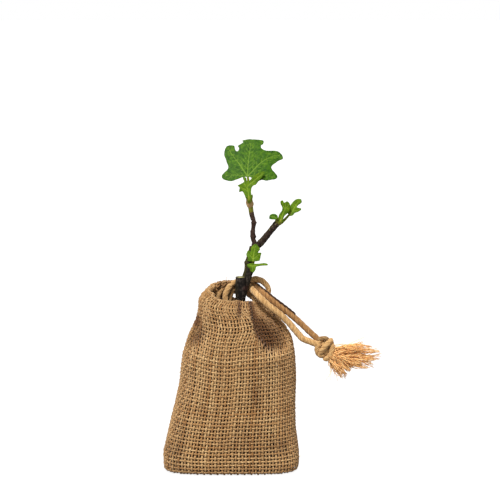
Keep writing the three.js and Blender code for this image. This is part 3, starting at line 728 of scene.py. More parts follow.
# colour marks of the burlap: real stains, a darker foot, and painted shade in the folds and inside the mouth
def bag_stain_and_shade(P):
    x, y, z = P[..., 0], P[..., 1], P[..., 2]
    front = ease(5, -5, y)
    s = 0.5 * ease(9, 1, z) * (0.6 + 0.4 * noise(P, 9, 3))
    for cx, cz, rx, rz, amp in ((18.5, 61, 3.5, 9.5, 0.5), (-44, 18, 8, 6, 0.45), (-40, 8, 6, 4, 0.3), (36, 22, 7, 5, 0.22), (-6, 40, 5, 3, 0.2)):
        s = s + amp * np.exp(-((x - cx) / rx) ** 2 - ((z - cz) / rz) ** 2) * front
    back = ease(-5, 5, y)
    for cx, cz, rx, rz, amp in ((-16, 70, 5, 7, 0.4), (28, 24, 7, 5, 0.35)):
        s = s + amp * np.exp(-((x - cx) / rx) ** 2 - ((z - cz) / rz) ** 2) * back
    s = s + 0.22 * ease(0.35, 0.8, noise(P, 15, 77))
    # painted shade: the hollows and creases of the front and the dark pocket at the left are darkened in colour, as
    # shaded folds; the upper front is a little darker too
    deep = relief(P, front)
    s = s + 0.85 * ease(0.8, 9.0, deep) + 1.2 * np.exp(-((x + 25.6) / 2.6) ** 2 - ((z - 114.5) / 4.2) ** 2) * ease(8, -2, y)
    s = s + 0.95 * np.exp(-((x - 6.4) / 1.8) ** 2 - ((z - 125.5) / 5.4) ** 2) * front + 0.1 * ease(112, 120, z) * front
    s = s + 0.8 * np.exp(-((x - np.interp(z, CREASES[0][:, 0], CREASES[0][:, 1]) - 0.5) / 1.5) ** 2) * ease(98, 105, z) * front
    s = s + 0.5 * np.exp(-((x - 29) / 10) ** 4 - ((z - 109) / 11) ** 4) * ease(15, 19, x) * front
    s = s + 0.4 * np.exp(-((x + 27 - 0.5 * (z - 102)) / 5) ** 2 - ((z - 102) / 9) ** 2) * front
    # painted shade also on the cloth inside the mouth
    s = s + 0.35 * np.exp(-((x + 1) / 16) ** 2 - ((y - 8) / 6) ** 2) * ease(118, 126, z)
    return np.clip(s, 0, 0.93)


front_net = panel_threads("front", 180)
back_net = panel_threads("back", 0)


def underside():
    """The flat woven bottom, out to the lower edge of the wall."""
    b = np.linspace(0, 360, 361)
    rim = cloth(b, V0, INSET)[:, :2]
    rim[:, 0] *= 0.985
    xs, ys = rim[:, 0], rim[:, 1]
    made = Bag()

    def span(along, at):
        a, c = (xs, ys) if along == 0 else (ys, xs)
        hits = []
        for k in range(len(a) - 1):
            if (c[k] - at) * (c[k + 1] - at) < 0:
                f = (at - c[k]) / (c[k + 1] - c[k])
                hits.append(a[k] + f * (a[k + 1] - a[k]))
        return (min(hits), max(hits)) if len(hits) >= 2 else None
    for along, pitch, sgn in ((0, 2.85, -1), (1, 2.5, 1)):
        other = 2.5 if along == 0 else 2.85
        lo = (ys if along == 0 else xs).min() + 1.2
        hi = (ys if along == 0 else xs).max() - 1.2
        for k in range(int(np.ceil(lo / pitch)), int(np.floor(hi / pitch)) + 1):
            got = span(along, k * pitch)
            if not got:
                continue
            a = np.arange(got[0], got[1], other / 4)
            P = np.zeros((1, len(a), 3))
            P[0, :, along] = a
            P[0, :, 1 - along] = k * pitch + 0.25 * noise1(a * 0.06 + k, 5 + k)
            P[0, :, 2] = 0.82 + sgn * 0.27 * (-1.0) ** k * np.cos(np.pi * a / other)
            Nn = np.zeros_like(P)
            Nn[..., 2] = 1
            V, q, t, ang = tubes(P, Nn, np.full((1, len(a)), 0.42), np.full((1, len(a)), 0.86), 6)
            length = np.repeat(a - a[0], 6)
            w = ang - length / 3.6 * 2 * np.pi
            made.add(V, q, t, yarn=np.stack([np.cos(w), np.sin(w), length * 0.22 + 3.3 * k], -1), tint=0.5, stain=0.45)
    return done(made.make("pouch_underside", BURLAP), "burlap", "bag")


underside()


def soil():
    """Dark soil that fills the pouch up to its crumbly top."""
    b = np.linspace(0, 360, 180, endpoint=False)
    vs = np.linspace(0.012, 0.893, 60)
    made = Bag()
    wall = cloth(b[None], vs[:, None], 2.65)
    wall = wall + (noise(wall, 3.0, 2, 2) * 0.25)[..., None] * unit(wall * [1, 1, 0])
    wall[..., 2] = np.minimum(wall[..., 2], 117.0)
    low = wall[0].copy(); low[:, 2] = 1.6
    shares = np.linspace(1, 0.0, 26)[1:]
    ring = cloth(b, 0.893, 2.65)
    centre = np.array([6.9, 0.3, 0])
    top = []
    for f in shares:
        p = centre + (ring - centre) * f
        h = 117.0 + 0.9 * noise(p * [1, 1, 0], 7, 4, 2) + 0.7 * noise(p * [1, 1, 0], 2.2, 6, 2) + 1.0 * np.exp(-(np.linalg.norm((p - centre)[:, :2], axis=1) / 8) ** 2)
        p[:, 2] = np.minimum(h, 118.9)
        top.append(p)
    under = [centre + (low - centre) * f for f in (0.0,)]
    under[0][:, 2] = 1.6
    rings = np.array([under[0] + (low - under[0]) * 1e-3, low, *wall[1:], *top])
    made.add(rings, grid_quads(len(rings), len(b), True))
    g = rng(8)
    # clods on the top
    for _ in range(260):
        a, f = g.uniform(0, 360), g.uniform(0.1, 0.98) ** 0.5
        p = centre + (np.array([np.interp(a, np.append(b, 360), np.append(ring[:, k], ring[0, k])) for k in range(3)]) - centre) * f * 0.97
        r = g.uniform(0.35, 1.3)
        u, w = np.meshgrid(np.linspace(0, np.pi, 7), np.linspace(0, 2 * np.pi, 9)[:-1], indexing="ij")
        s = np.stack([np.sin(u) * np.cos(w), np.sin(u) * np.sin(w), np.cos(u) * 0.75], -1)
        s = s * r * (1 + 0.25 * noise(s * 2 + g.uniform(0, 50), 1.0, 3))[..., None]
        s = s + [p[0], p[1], 117.4 + 0.3 * r]
        made.add(s[::-1], grid_quads(7, 8, True))
    return done(made.make("soil", SOIL), "soil", "root_ball")


soil()


# ------------------------------------------------------------------ woody limbs
def limb(made, line, sides=40, step=0.4, rough=0.1, bumps=(), seed=0, grow=None, round_end=False, level=False, **attrs):
    """Rough limb along a line of places and radii; bumps are (x, y, z, radius, height)."""
    P = spline(line, step=step)
    C, r = P[:, :3], P[:, 3]
    N = frames(C, (0, -1, 0))
    T = unit(np.gradient(C, axis=0))
    if level:
        T[0] = (0, 0, 1)
    B = np.cross(T, N)
    th = np.arange(sides) / sides * 2 * np.pi
    d = N[:, None] * np.cos(th)[None, :, None] + B[:, None] * np.sin(th)[None, :, None]
    s = np.arange(len(C)) * step
    if round_end:
        k = np.clip((s[-1] - s) / np.maximum(r[-1], 0.3), 0, 1)
        r = r * np.sqrt(np.clip(1 - (1 - k) ** 2, 0.002, 1))
    V = C[:, None] + d * r[:, None, None]
    fis = noise(np.stack(np.broadcast_arrays(np.cos(th)[None] * 2.2, np.sin(th)[None] * 2.2, s[:, None] * 0.22), -1), 1.0, seed + 1, 3)
    fine = noise(V, 0.55, seed + 2, 2)
    h = rough * (0.75 * fis + 0.45 * fine) * np.clip(r[:, None] / 2.5, 0.4, 1.3)
    if grow is not None:
        h = h + grow(s / s[-1], th)
    for x, y, z, br, bh in bumps:
        h = h + bh * np.exp(-(np.linalg.norm(V - [x, y, z], axis=2) / br) ** 2)
    V = V + d * h[..., None]
    if level:
        V[0, :, 2] = C[0, 2]
    n0 = len(C) * sides
    pts = np.vstack([V.reshape(-1, 3), C[:1], C[-1:]])
    j = np.arange(sides)
    tris = np.vstack([np.stack([np.full(sides, n0), (j + 1) % sides, j], -1),
                      np.stack([np.full(sides, n0 + 1), (len(C) - 1) * sides + j, (len(C) - 1) * sides + (j + 1) % sides], -1)])
    normal = np.vstack([d.reshape(-1, 3), -T[:1], T[-1:]])
    out = {}
    for key, f in attrs.items():
        a = f(pts, normal) if callable(f) else np.full(len(pts), float(f))
        out[key] = a
    made.add(pts, grid_quads(len(C), sides, True), tris, **out)
    return C


trunk_line = [[6.9, 0.3, 117.85, 5.6], [6.9, 0.2, 120, 4.5], [6.9, 0.1, 123, 3.9], [7.1, 0, 129.8, 3.6], [8.4, 0, 136.4, 4.0],
              [11.0, 0.2, 143.6, 3.6], [12.9, 0.1, 150.8, 3.35], [13.9, 0, 157.4, 3.5], [15.1, 0, 162.6, 3.0], [16.5, 0, 168.9, 2.75]]
stub_line = [[7.1, -1.2, 128, 3.5], [7.0, -2.2, 133, 3.75], [7.0, -2.8, 138, 3.85], [7.05, -3.2, 143, 3.75], [7.1, -3.4, 146.8, 3.6]]
leader_line = [[16.4, 0.2, 166.8, 2.3], [16.9, 0.3, 168.6, 2.05], [17.3, 0.4, 172, 1.85], [16.4, 0.5, 174.4, 1.7], [16.3, 0.6, 176.4, 2.0], [16.1, 0.7, 179.2, 1.75],
               [16.5, 0.8, 183, 1.5], [16.8, 0.9, 186.4, 1.85], [16.6, 1, 188.6, 1.6], [15.5, 1.1, 192.2, 1.8], [15.1, 1.2, 194.6, 1.85]]
branch_line = [[16.6, -0.6, 166.2, 2.3], [17.4, -1, 167.8, 2.45], [20.4, -1.6, 170.6, 2.5], [23.9, -2.4, 174.4, 2.5], [27.8, -3.2, 179.4, 2.3],
               [31.4, -4, 184.0, 2.35], [34.3, -4.6, 187.6, 2.35]]
top_shoot_line = [[15.1, 1.2, 193.4, 1.75], [14.7, 1.2, 196.8, 1.85], [14.4, 1.2, 199.2, 1.9], [14, 1.1, 202, 2.15], [13.5, 1, 204.4, 2.35],
                  [13, 1.1, 207.6, 2.0], [12.9, 1.5, 211.6, 1.5], [12.9, 2.2, 216, 1.05], [12.6, 2.5, 219.6, 0.85], [12.3, 2.5, 221.8, 0.6]]
side_shoot_line = [[33.2, -4.4, 186.4, 1.9], [34.3, -4.7, 188.2, 1.9], [35.6, -5, 190.4, 1.5], [37, -5.2, 192.8, 1.0], [38.2, -5.4, 196.0, 0.8]]
low_shoot_line = [[15.4, -1.8, 151.6, 2.0], [15.8, -2.8, 153.4, 1.9], [16.5, -4.2, 155.4, 1.4], [16.1, -5.6, 157.4, 1.0], [16.4, -7.4, 159.4, 0.8], [16.6, -7.4, 161.4, 0.5]]


def left_side(amount):
    return lambda p, n: amount * ease(0.2, 0.85, -n[:, 0] + 0.25 * noise(p, 2.2, 4, 2))


def near(x, y, z, r, amount):
    return lambda p, n: amount * np.exp(-(np.linalg.norm(p - [x, y, z], axis=1) / r) ** 2)


def both(*fs):
    return lambda p, n: np.clip(sum(f(p, n) for f in fs), 0, 1)


def limbs():
    w = Bag()
    limb(w, trunk_line, 56, 0.32, 0.24, [(10.4, -1.6, 157.6, 1.3, 0.9), (17.2, -1.4, 150.4, 1.8, 1.4), (15.8, -2.6, 148, 1.2, 0.5), (9.6, -3.6, 139, 1.5, 0.5),
                                         (12.5, -2.4, 145.2, 1.1, 0.45), (16.6, -1.6, 162.4, 1.3, 0.5)], 10,
         level=True, olive=lambda p, n: left_side(0.6)(p, n) * ease(136, 150, p[:, 2]) + 0.06, plum=near(10.4, -3.6, 138.4, 2.2, 0.22), brown=0.0, pale=0.0)
    limb(w, stub_line, 44, 0.3, 0.2, [(4.4, -1.6, 140.5, 1.4, 0.6)], 20, round_end=False,
         olive=left_side(0.12), plum=near(10.0, -5.6, 138.6, 1.3, 0.3), brown=0.0, pale=lambda p, n: 0.9 * ease(0.6, 0.95, n[:, 2]) * (p[:, 2] > 145.4))
    done(w.make("trunk_bark", BARK), "bark", "trunk")
    w = Bag()
    rings = lambda centres, width, height: (lambda t, th: sum(height * np.exp(-((t - c) / width) ** 2)[:, None] * (1 + 0.3 * np.cos(th * 2 + c * 40))[None] for c in centres))
    limb(w, leader_line, 32, 0.25, 0.2, [(18.2, 0, 176.2, 0.8, 0.4), (14.7, 0.3, 180, 0.7, 0.3), (18, 0.4, 187, 0.8, 0.4)], 30,
         grow=rings((0.14, 0.36, 0.5, 0.72, 0.83), 0.018, 0.22),
         olive=0.0, plum=0.0, brown=0.6, pale=near(15.6, 1.1, 192.4, 1.1, 0.3))
    done(w.make("leader_bark", BARK), "bark", "leader")
    w = Bag()
    limb(w, branch_line, 40, 0.28, 0.2, [(22, -3.6, 172.4, 1.0, 0.4), (29.4, -4.6, 181, 1.2, 0.45), (26.2, -1.4, 177.6, 1.0, 0.35)], 40,
         grow=rings((0.3, 0.55, 0.8, 0.93), 0.02, 0.2),
         olive=left_side(0.25), plum=0.0, brown=0.3, pale=lambda p, n: 0.3 * ease(0.55, 0.8, noise(p, 0.8, 61)))
    done(w.make("side_branch_bark", BARK), "bark", "side_branch")


limbs()


def bud_scale(made, base, tip, width, thick, curl, facing, **attrs):
    """A pointed scale that wraps a shoot, from base to tip."""
    base, tip = np.array(base, float), np.array(tip, float)
    facing = np.array(facing, float)
    t = np.linspace(0, 1, 12)
    axis = tip - base
    out = facing - axis * np.dot(facing, axis) / np.dot(axis, axis)
    out /= np.linalg.norm(out)
    C = base + axis * t[:, None] + out * (curl * np.sin(np.pi * t))[:, None]
    side = np.cross(axis / np.linalg.norm(axis), out)
    w = width * np.sin(np.pi * np.clip(t * 0.92 + 0.16, 0, 1)) ** 0.8
    w[-1] = 0.04
    a = np.linspace(-1, 1, 9)
    rows = []
    for k in range(12):
        cup = -(a ** 2) * w[k] * 0.45
        rows.append(C[k] + side * (a * w[k])[:, None] + out * cup[:, None])
    front = np.array(rows)
    nrm = out * thick
    back = front - nrm
    V = np.vstack([front.reshape(-1, 3), back.reshape(-1, 3)])
    q = grid_quads(12, 9)
    n = 12 * 9
    edge = np.concatenate([np.arange(9), np.arange(1, 12) * 9 + 8, 11 * 9 + np.arange(7, -1, -1), np.arange(10, 0, -1) * 9])
    e2 = np.roll(edge, -1)
    rim = np.stack([edge, edge + n, e2 + n, e2], -1)
    if np.dot(np.cross(front[1, 5] - front[1, 4], front[2, 4] - front[1, 4]), out) < 0:
        q, rim = q[:, ::-1], rim[:, ::-1]
    made.add(V, np.vstack([q, (q + n)[:, ::-1], rim]), None, **attrs)


def shoots():
    w = Bag()
    limb(w, top_shoot_line, 28, 0.25, 0.08, [(12.4, -0.4, 203, 1.4, 0.5)], 50, round_end=True,
         olive=lambda p, n: 0.8 * ease(203, 196, p[:, 2]), pale=0.0, brown=lambda p, n: 0.5 * ease(196.5, 194, p[:, 2]))
    # stalk of the small leaf, out to the front
    limb(w, [[13.4, 0.2, 202.4, 1.6], [13.5, -2.4, 203.4, 1.5], [13.4, -4.0, 205.0, 1.35], [13.0, -3.9, 207.8, 0.8]], 20, 0.3, 0.04, [], 51, round_end=True, olive=0.15, pale=0.0, brown=0.0)
    # beige cup of bud scales with its pointed tip, and the green bud scales above it
    for k, (dx, tipz, facing, wd) in enumerate(((-1.7, 205.2, (-0.6, -0.8, 0), 2.1), (1.4, 203.8, (0.7, -0.7, 0), 2.1), (-0.2, 203.6, (0, -1, 0.1), 2.4), (0.2, 203.4, (0.3, 1, 0), 2.2))):
        bud_scale(w, (14.5 + dx * 0.5, 1.2 + facing[1] * 1.5, 197.6), (13.9 + dx * 1.4, 1.2 + facing[1] * 2.6, tipz), wd, 0.25, 0.8, facing,
                  olive=0.0, pale=0.95, brown=0.0)
    bud_scale(w, (13.0, -0.4, 203.4), (10.4, -1.4, 209.4), 1.3, 0.25, 0.8, (-0.5, -0.8, 0), olive=0.15, pale=0.0, brown=0.0)
    bud_scale(w, (14.2, -0.5, 203.4), (16.0, -1.6, 208.6), 1.2, 0.25, 0.8, (0.5, -0.8, 0), olive=0.15, pale=0.0, brown=0.0)
    done(w.make("top_shoot_stem", STEM), "green_stem", "top_shoot")
    w = Bag()
    limb(w, side_shoot_line, 24, 0.25, 0.06, [], 60, round_end=True, olive=0.7, pale=0.0, brown=0.1)
    limb(w, [[35.2, -4.8, 186.4, 1.2], [37.2, -5.0, 187.6, 1.05], [39.6, -4.9, 189.9, 0.95], [42.0, -5.0, 192.5, 0.85], [43.4, -5.1, 194.1, 0.7], [44.3, -4.7, 195.6, 0.45]], 16, 0.3, 0.03, [], 61,
         olive=0.35, pale=0.0, brown=lambda p, n: 0.4 * ease(188.4, 186.2, p[:, 2]))
    limb(w, [[33.6, -5.4, 187.4, 0.9], [33.4, -6.8, 189.2, 0.7], [33.2, -8.2, 190.8, 0.55], [32.4, -8.5, 191.9, 0.4]], 14, 0.3, 0.03, [], 62, olive=0.4, pale=0.0, brown=0.0)
    # broad, pale stalk of the middle leaf
    limb(w, [[35.2, -5.0, 187.2, 1.4], [36.0, -7.0, 187.9, 1.25], [36.5, -8.4, 189.2, 1.1], [36.9, -8.3, 191.4, 0.8]], 18, 0.3, 0.03, [], 63, round_end=True, olive=0.2, pale=0.08, brown=0.0)
    for base, tip, facing, wd in (((34.2, -6.2, 186.6), (33.4, -7.6, 191.4), (-0.2, -1, 0), 1.2), ((35.4, -5.8, 187.8), (37.4, -7.0, 191.8), (0.5, -0.9, 0), 1.1),
                                  ((33.6, -3.6, 187.0), (33.2, -2.6, 190.8), (-0.3, 1, 0), 1.1)):
        bud_scale(w, base, tip, wd, 0.22, 0.6, facing, olive=0.85, pale=0.1, brown=0.15)
    done(w.make("side_shoot_stem", STEM), "green_stem", "side_shoot")
    w = Bag()
    limb(w, low_shoot_line, 24, 0.25, 0.06, [], 70, round_end=True, olive=0.5, pale=0.0, brown=0.25)
    limb(w, [[16.3, -4.4, 155.0, 1.1], [16.0, -6.6, 155.6, 0.95], [15.9, -8.3, 156.1, 0.8]], 16, 0.3, 0.03, [], 71, olive=0.3, pale=0.0, brown=0.1)
    for base, tip, facing, wd in (((15.6, -4.0, 152.4), (14.2, -5.6, 157.0), (-0.4, -0.9, 0), 1.1), ((16.8, -3.8, 152.6), (18.2, -5.0, 156.8), (0.5, -0.8, 0), 1.0)):
        bud_scale(w, base, tip, wd, 0.22, 0.6, facing, olive=0.4, pale=0.1, brown=0.2)
    done(w.make("low_shoot_stem", STEM), "green_stem", "low_shoot")


shoots()


# ------------------------------------------------------------------ leaves
UP = np.array([0, math.sin(math.radians(9)), math.cos(math.radians(9))])
AWAY = np.array([0, math.cos(math.radians(9)), -math.sin(math.radians(9))])


def refine(outline, step, bulge, seed, teeth=0.0):
    """A finer outline that swings between its corners."""
    p = np.array(outline, float)
    e = np.vstack([p[-1:], p, p[:2]])
    out = []
    for k in range(len(p)):
        a, b, c, d = e[k], e[k + 1], e[k + 2], e[k + 3]
        n = max(2, int(np.linalg.norm(c - b) / step))
        t = np.linspace(0, 1, n, endpoint=False)[:, None]
        curve = 0.5 * (2 * b + (c - a) * t + (2 * a - 5 * b + 4 * c - d) * t ** 2 + (3 * b - a - 3 * c + d) * t ** 3)
        straight = b + (c - b) * t
        out.append(straight + (curve - straight) * bulge)
    out = np.vstack(out)
    if teeth:
        nrm = np.roll(out, -1, 0) - np.roll(out, 1, 0)
        nrm = unit(np.stack([nrm[:, 1], -nrm[:, 0]], -1))
        s = np.cumsum(np.linalg.norm(out - np.roll(out, 1, 0), axis=1))
        out = out + nrm * (teeth * noise1(s * 0.55, seed, 2))[:, None]
    return out


def seg_dist(p, a, b):
    ab = b - a
    t = np.clip(((p - a) @ ab) / max(ab @ ab, 1e-9), 0, 1)
    return np.linalg.norm(p - (a + t[:, None] * ab), axis=1), t


def leaf(name, centre, outline, bend, mat, slot, veins, step=0.55, thick=0.36, relief=0.22, seed=0, wave=0.35, teeth=0.12, young=0.0, wide=0.5, bulge=0.85):
    """Blade with raised veins. veins is a list of lines, each [points..., width]."""
    centre = np.array(centre, float)
    ring = refine(outline, step, bulge, seed, teeth)
    area = np.sum(ring[:, 0] * np.roll(ring[:, 1], -1) - ring[:, 1] * np.roll(ring[:, 0], -1))
    if area < 0:
        ring = ring[::-1]
    lo, hi = ring.min(0), ring.max(0)
    gx, gy = np.meshgrid(np.arange(lo[0], hi[0], step), np.arange(lo[1], hi[1], step * 0.866), indexing="ij")
    gx = gx + (np.arange(gx.shape[1]) % 2)[None] * step / 2
    g = np.stack([gx.ravel(), gy.ravel()], -1)
    g = g + rng(seed).uniform(-0.12, 0.12, g.shape) * step
    # inside the outline, and not on it
    x, y = g[:, 0], g[:, 1]
    inside = np.zeros(len(g), bool)
    dist = np.full(len(g), 1e9)
    for a, b in zip(ring, np.roll(ring, -1, 0)):
        cross = ((a[1] > y) != (b[1] > y)) & (x < (b[0] - a[0]) * (y - a[1]) / (b[1] - a[1] + 1e-12) + a[0])
        inside ^= cross
        dist = np.minimum(dist, seg_dist(g, a, b)[0])
    g = g[inside & (dist > step * 0.45)]
    pts = np.vstack([ring, g])
    n = len(ring)
    res = delaunay_2d_cdt([Vector(p) for p in pts], [(i, (i + 1) % n) for i in range(n)], [list(range(n))], 1, 1e-5)
    P = np.array([[v.x, v.y] for v in res[0]])
    F = np.array([f for f in res[2] if len(f) == 3])
    orient = (P[F[:, 1], 0] - P[F[:, 0], 0]) * (P[F[:, 2], 1] - P[F[:, 0], 1]) - (P[F[:, 2], 0] - P[F[:, 0], 0]) * (P[F[:, 1], 1] - P[F[:, 0], 1])
    F[orient < 0] = F[orient < 0][:, ::-1]
    # veins
    vein = np.zeros(len(P)); valley = np.zeros(len(P)); nearest = np.full(len(P), 1e9)
    for line, width, strength in veins:
        line = np.array(line, float)
        if len(line) > 2:
            line = spline(np.column_stack([line, np.zeros(len(line))]), n=14)[:, :2]
        total = len(line) - 1
        for k, (a, b) in enumerate(zip(line[:-1], line[1:])):
            d, t = seg_dist(P, a, b)
            w = width * (1 - 0.7 * (k + t) / total)
            vein = np.maximum(vein, strength * np.exp(-(d / (w * wide)) ** 2))
            valley = np.maximum(valley, strength * np.exp(-(d / (w * 1.6)) ** 2))
            nearest = np.minimum(nearest, d)
    a, b = P[:, 0], P[:, 1]
    p3 = np.stack([a, b, a * 0], -1)
    edge = np.full(len(P), 1e9)
    for q, r in zip(ring, np.roll(ring, -1, 0)):
        edge = np.minimum(edge, seg_dist(P, q, r)[0])
    quilt = 0.5 * relief * np.clip(nearest / 2.2, 0, 1) ** 0.7 * (1 + 0.5 * noise(p3, 2.4, seed + 3))
    toward = quilt - relief * 0.8 * valley + wave * noise(p3, 8.5, seed + 4) * ease(0, 6, np.hypot(a, b)) + wave * 0.6 * noise(p3, 3.4, seed + 6) * ease(3, 0, edge)
    depth = bend(a, b) - toward
    half = thick / 2 * ease(-0.25, 0.5, edge) + 0.02
    body = centre + np.outer(a, [1, 0, 0]) + np.outer(b, UP) + np.outer(depth, AWAY)
    front = body - np.outer(half + 0.10 * vein, AWAY)
    back = body + np.outer(half + 0.35 * relief * valley, AWAY)
    m = len(P)
    # rim faces along the outline
    edges = {}
    for f in F:
        for i, j in ((f[0], f[1]), (f[1], f[2]), (f[2], f[0])):
            edges[(i, j)] = True
    border = np.array([(i, j) for i, j in edges if (j, i) not in edges])
    tris = np.vstack([F, (F + m)[:, ::-1]])
    rim = np.stack([border[:, 1], border[:, 0], border[:, 0] + m, border[:, 1] + m], -1)
    # the front faces the camera side (-AWAY): check the turn of one triangle
    f = F[0]
    nrm = np.cross(front[f[1]] - front[f[0]], front[f[2]] - front[f[0]])
    if nrm @ AWAY > 0:
        tris, rim = tris[:, ::-1], rim[:, ::-1]
    made = Bag()
    made.add(np.vstack([front, back]), rim, tris, vein=np.concatenate([vein, vein * 0.8]), young=np.full(2 * m, young) * (0.6 + 0.4 * np.concatenate([ease(0, 3, edge)] * 2)))
    return done(made.make(name, mat), slot, name.replace("_blade", ""))


def side_veins(main, count, angle, length, sides=(-1, 1), width=0.35, start=0.18, strength=0.5, curve=0.18):
    """Secondary veins that leave a main one on both sides."""
    main = np.array(main, float)
    line = spline(np.column_stack([main, np.zeros(len(main))]), n=40)[:, :2]
    out = []
    for k in range(count):
        t = start + (0.92 - start) * k / max(count - 1, 1)
        for s in sides:
            i = min(38, int((t + 0.03 * (s > 0)) * 39))
            p, d = line[i], line[i + 1] - line[i]
            d = d / np.linalg.norm(d)
            ang = math.radians(angle) * s
            e = np.array([d[0] * math.cos(ang) - d[1] * math.sin(ang), d[0] * math.sin(ang) + d[1] * math.cos(ang)])
            ln = length * (1 - 0.62 * t) * (0.9 + 0.1 * math.sin(5 * k + s))
            mid = p + e * ln * 0.55
            end = p + e * ln + d * ln * curve
            out.append(([p, mid, end], width, strength))
    return out


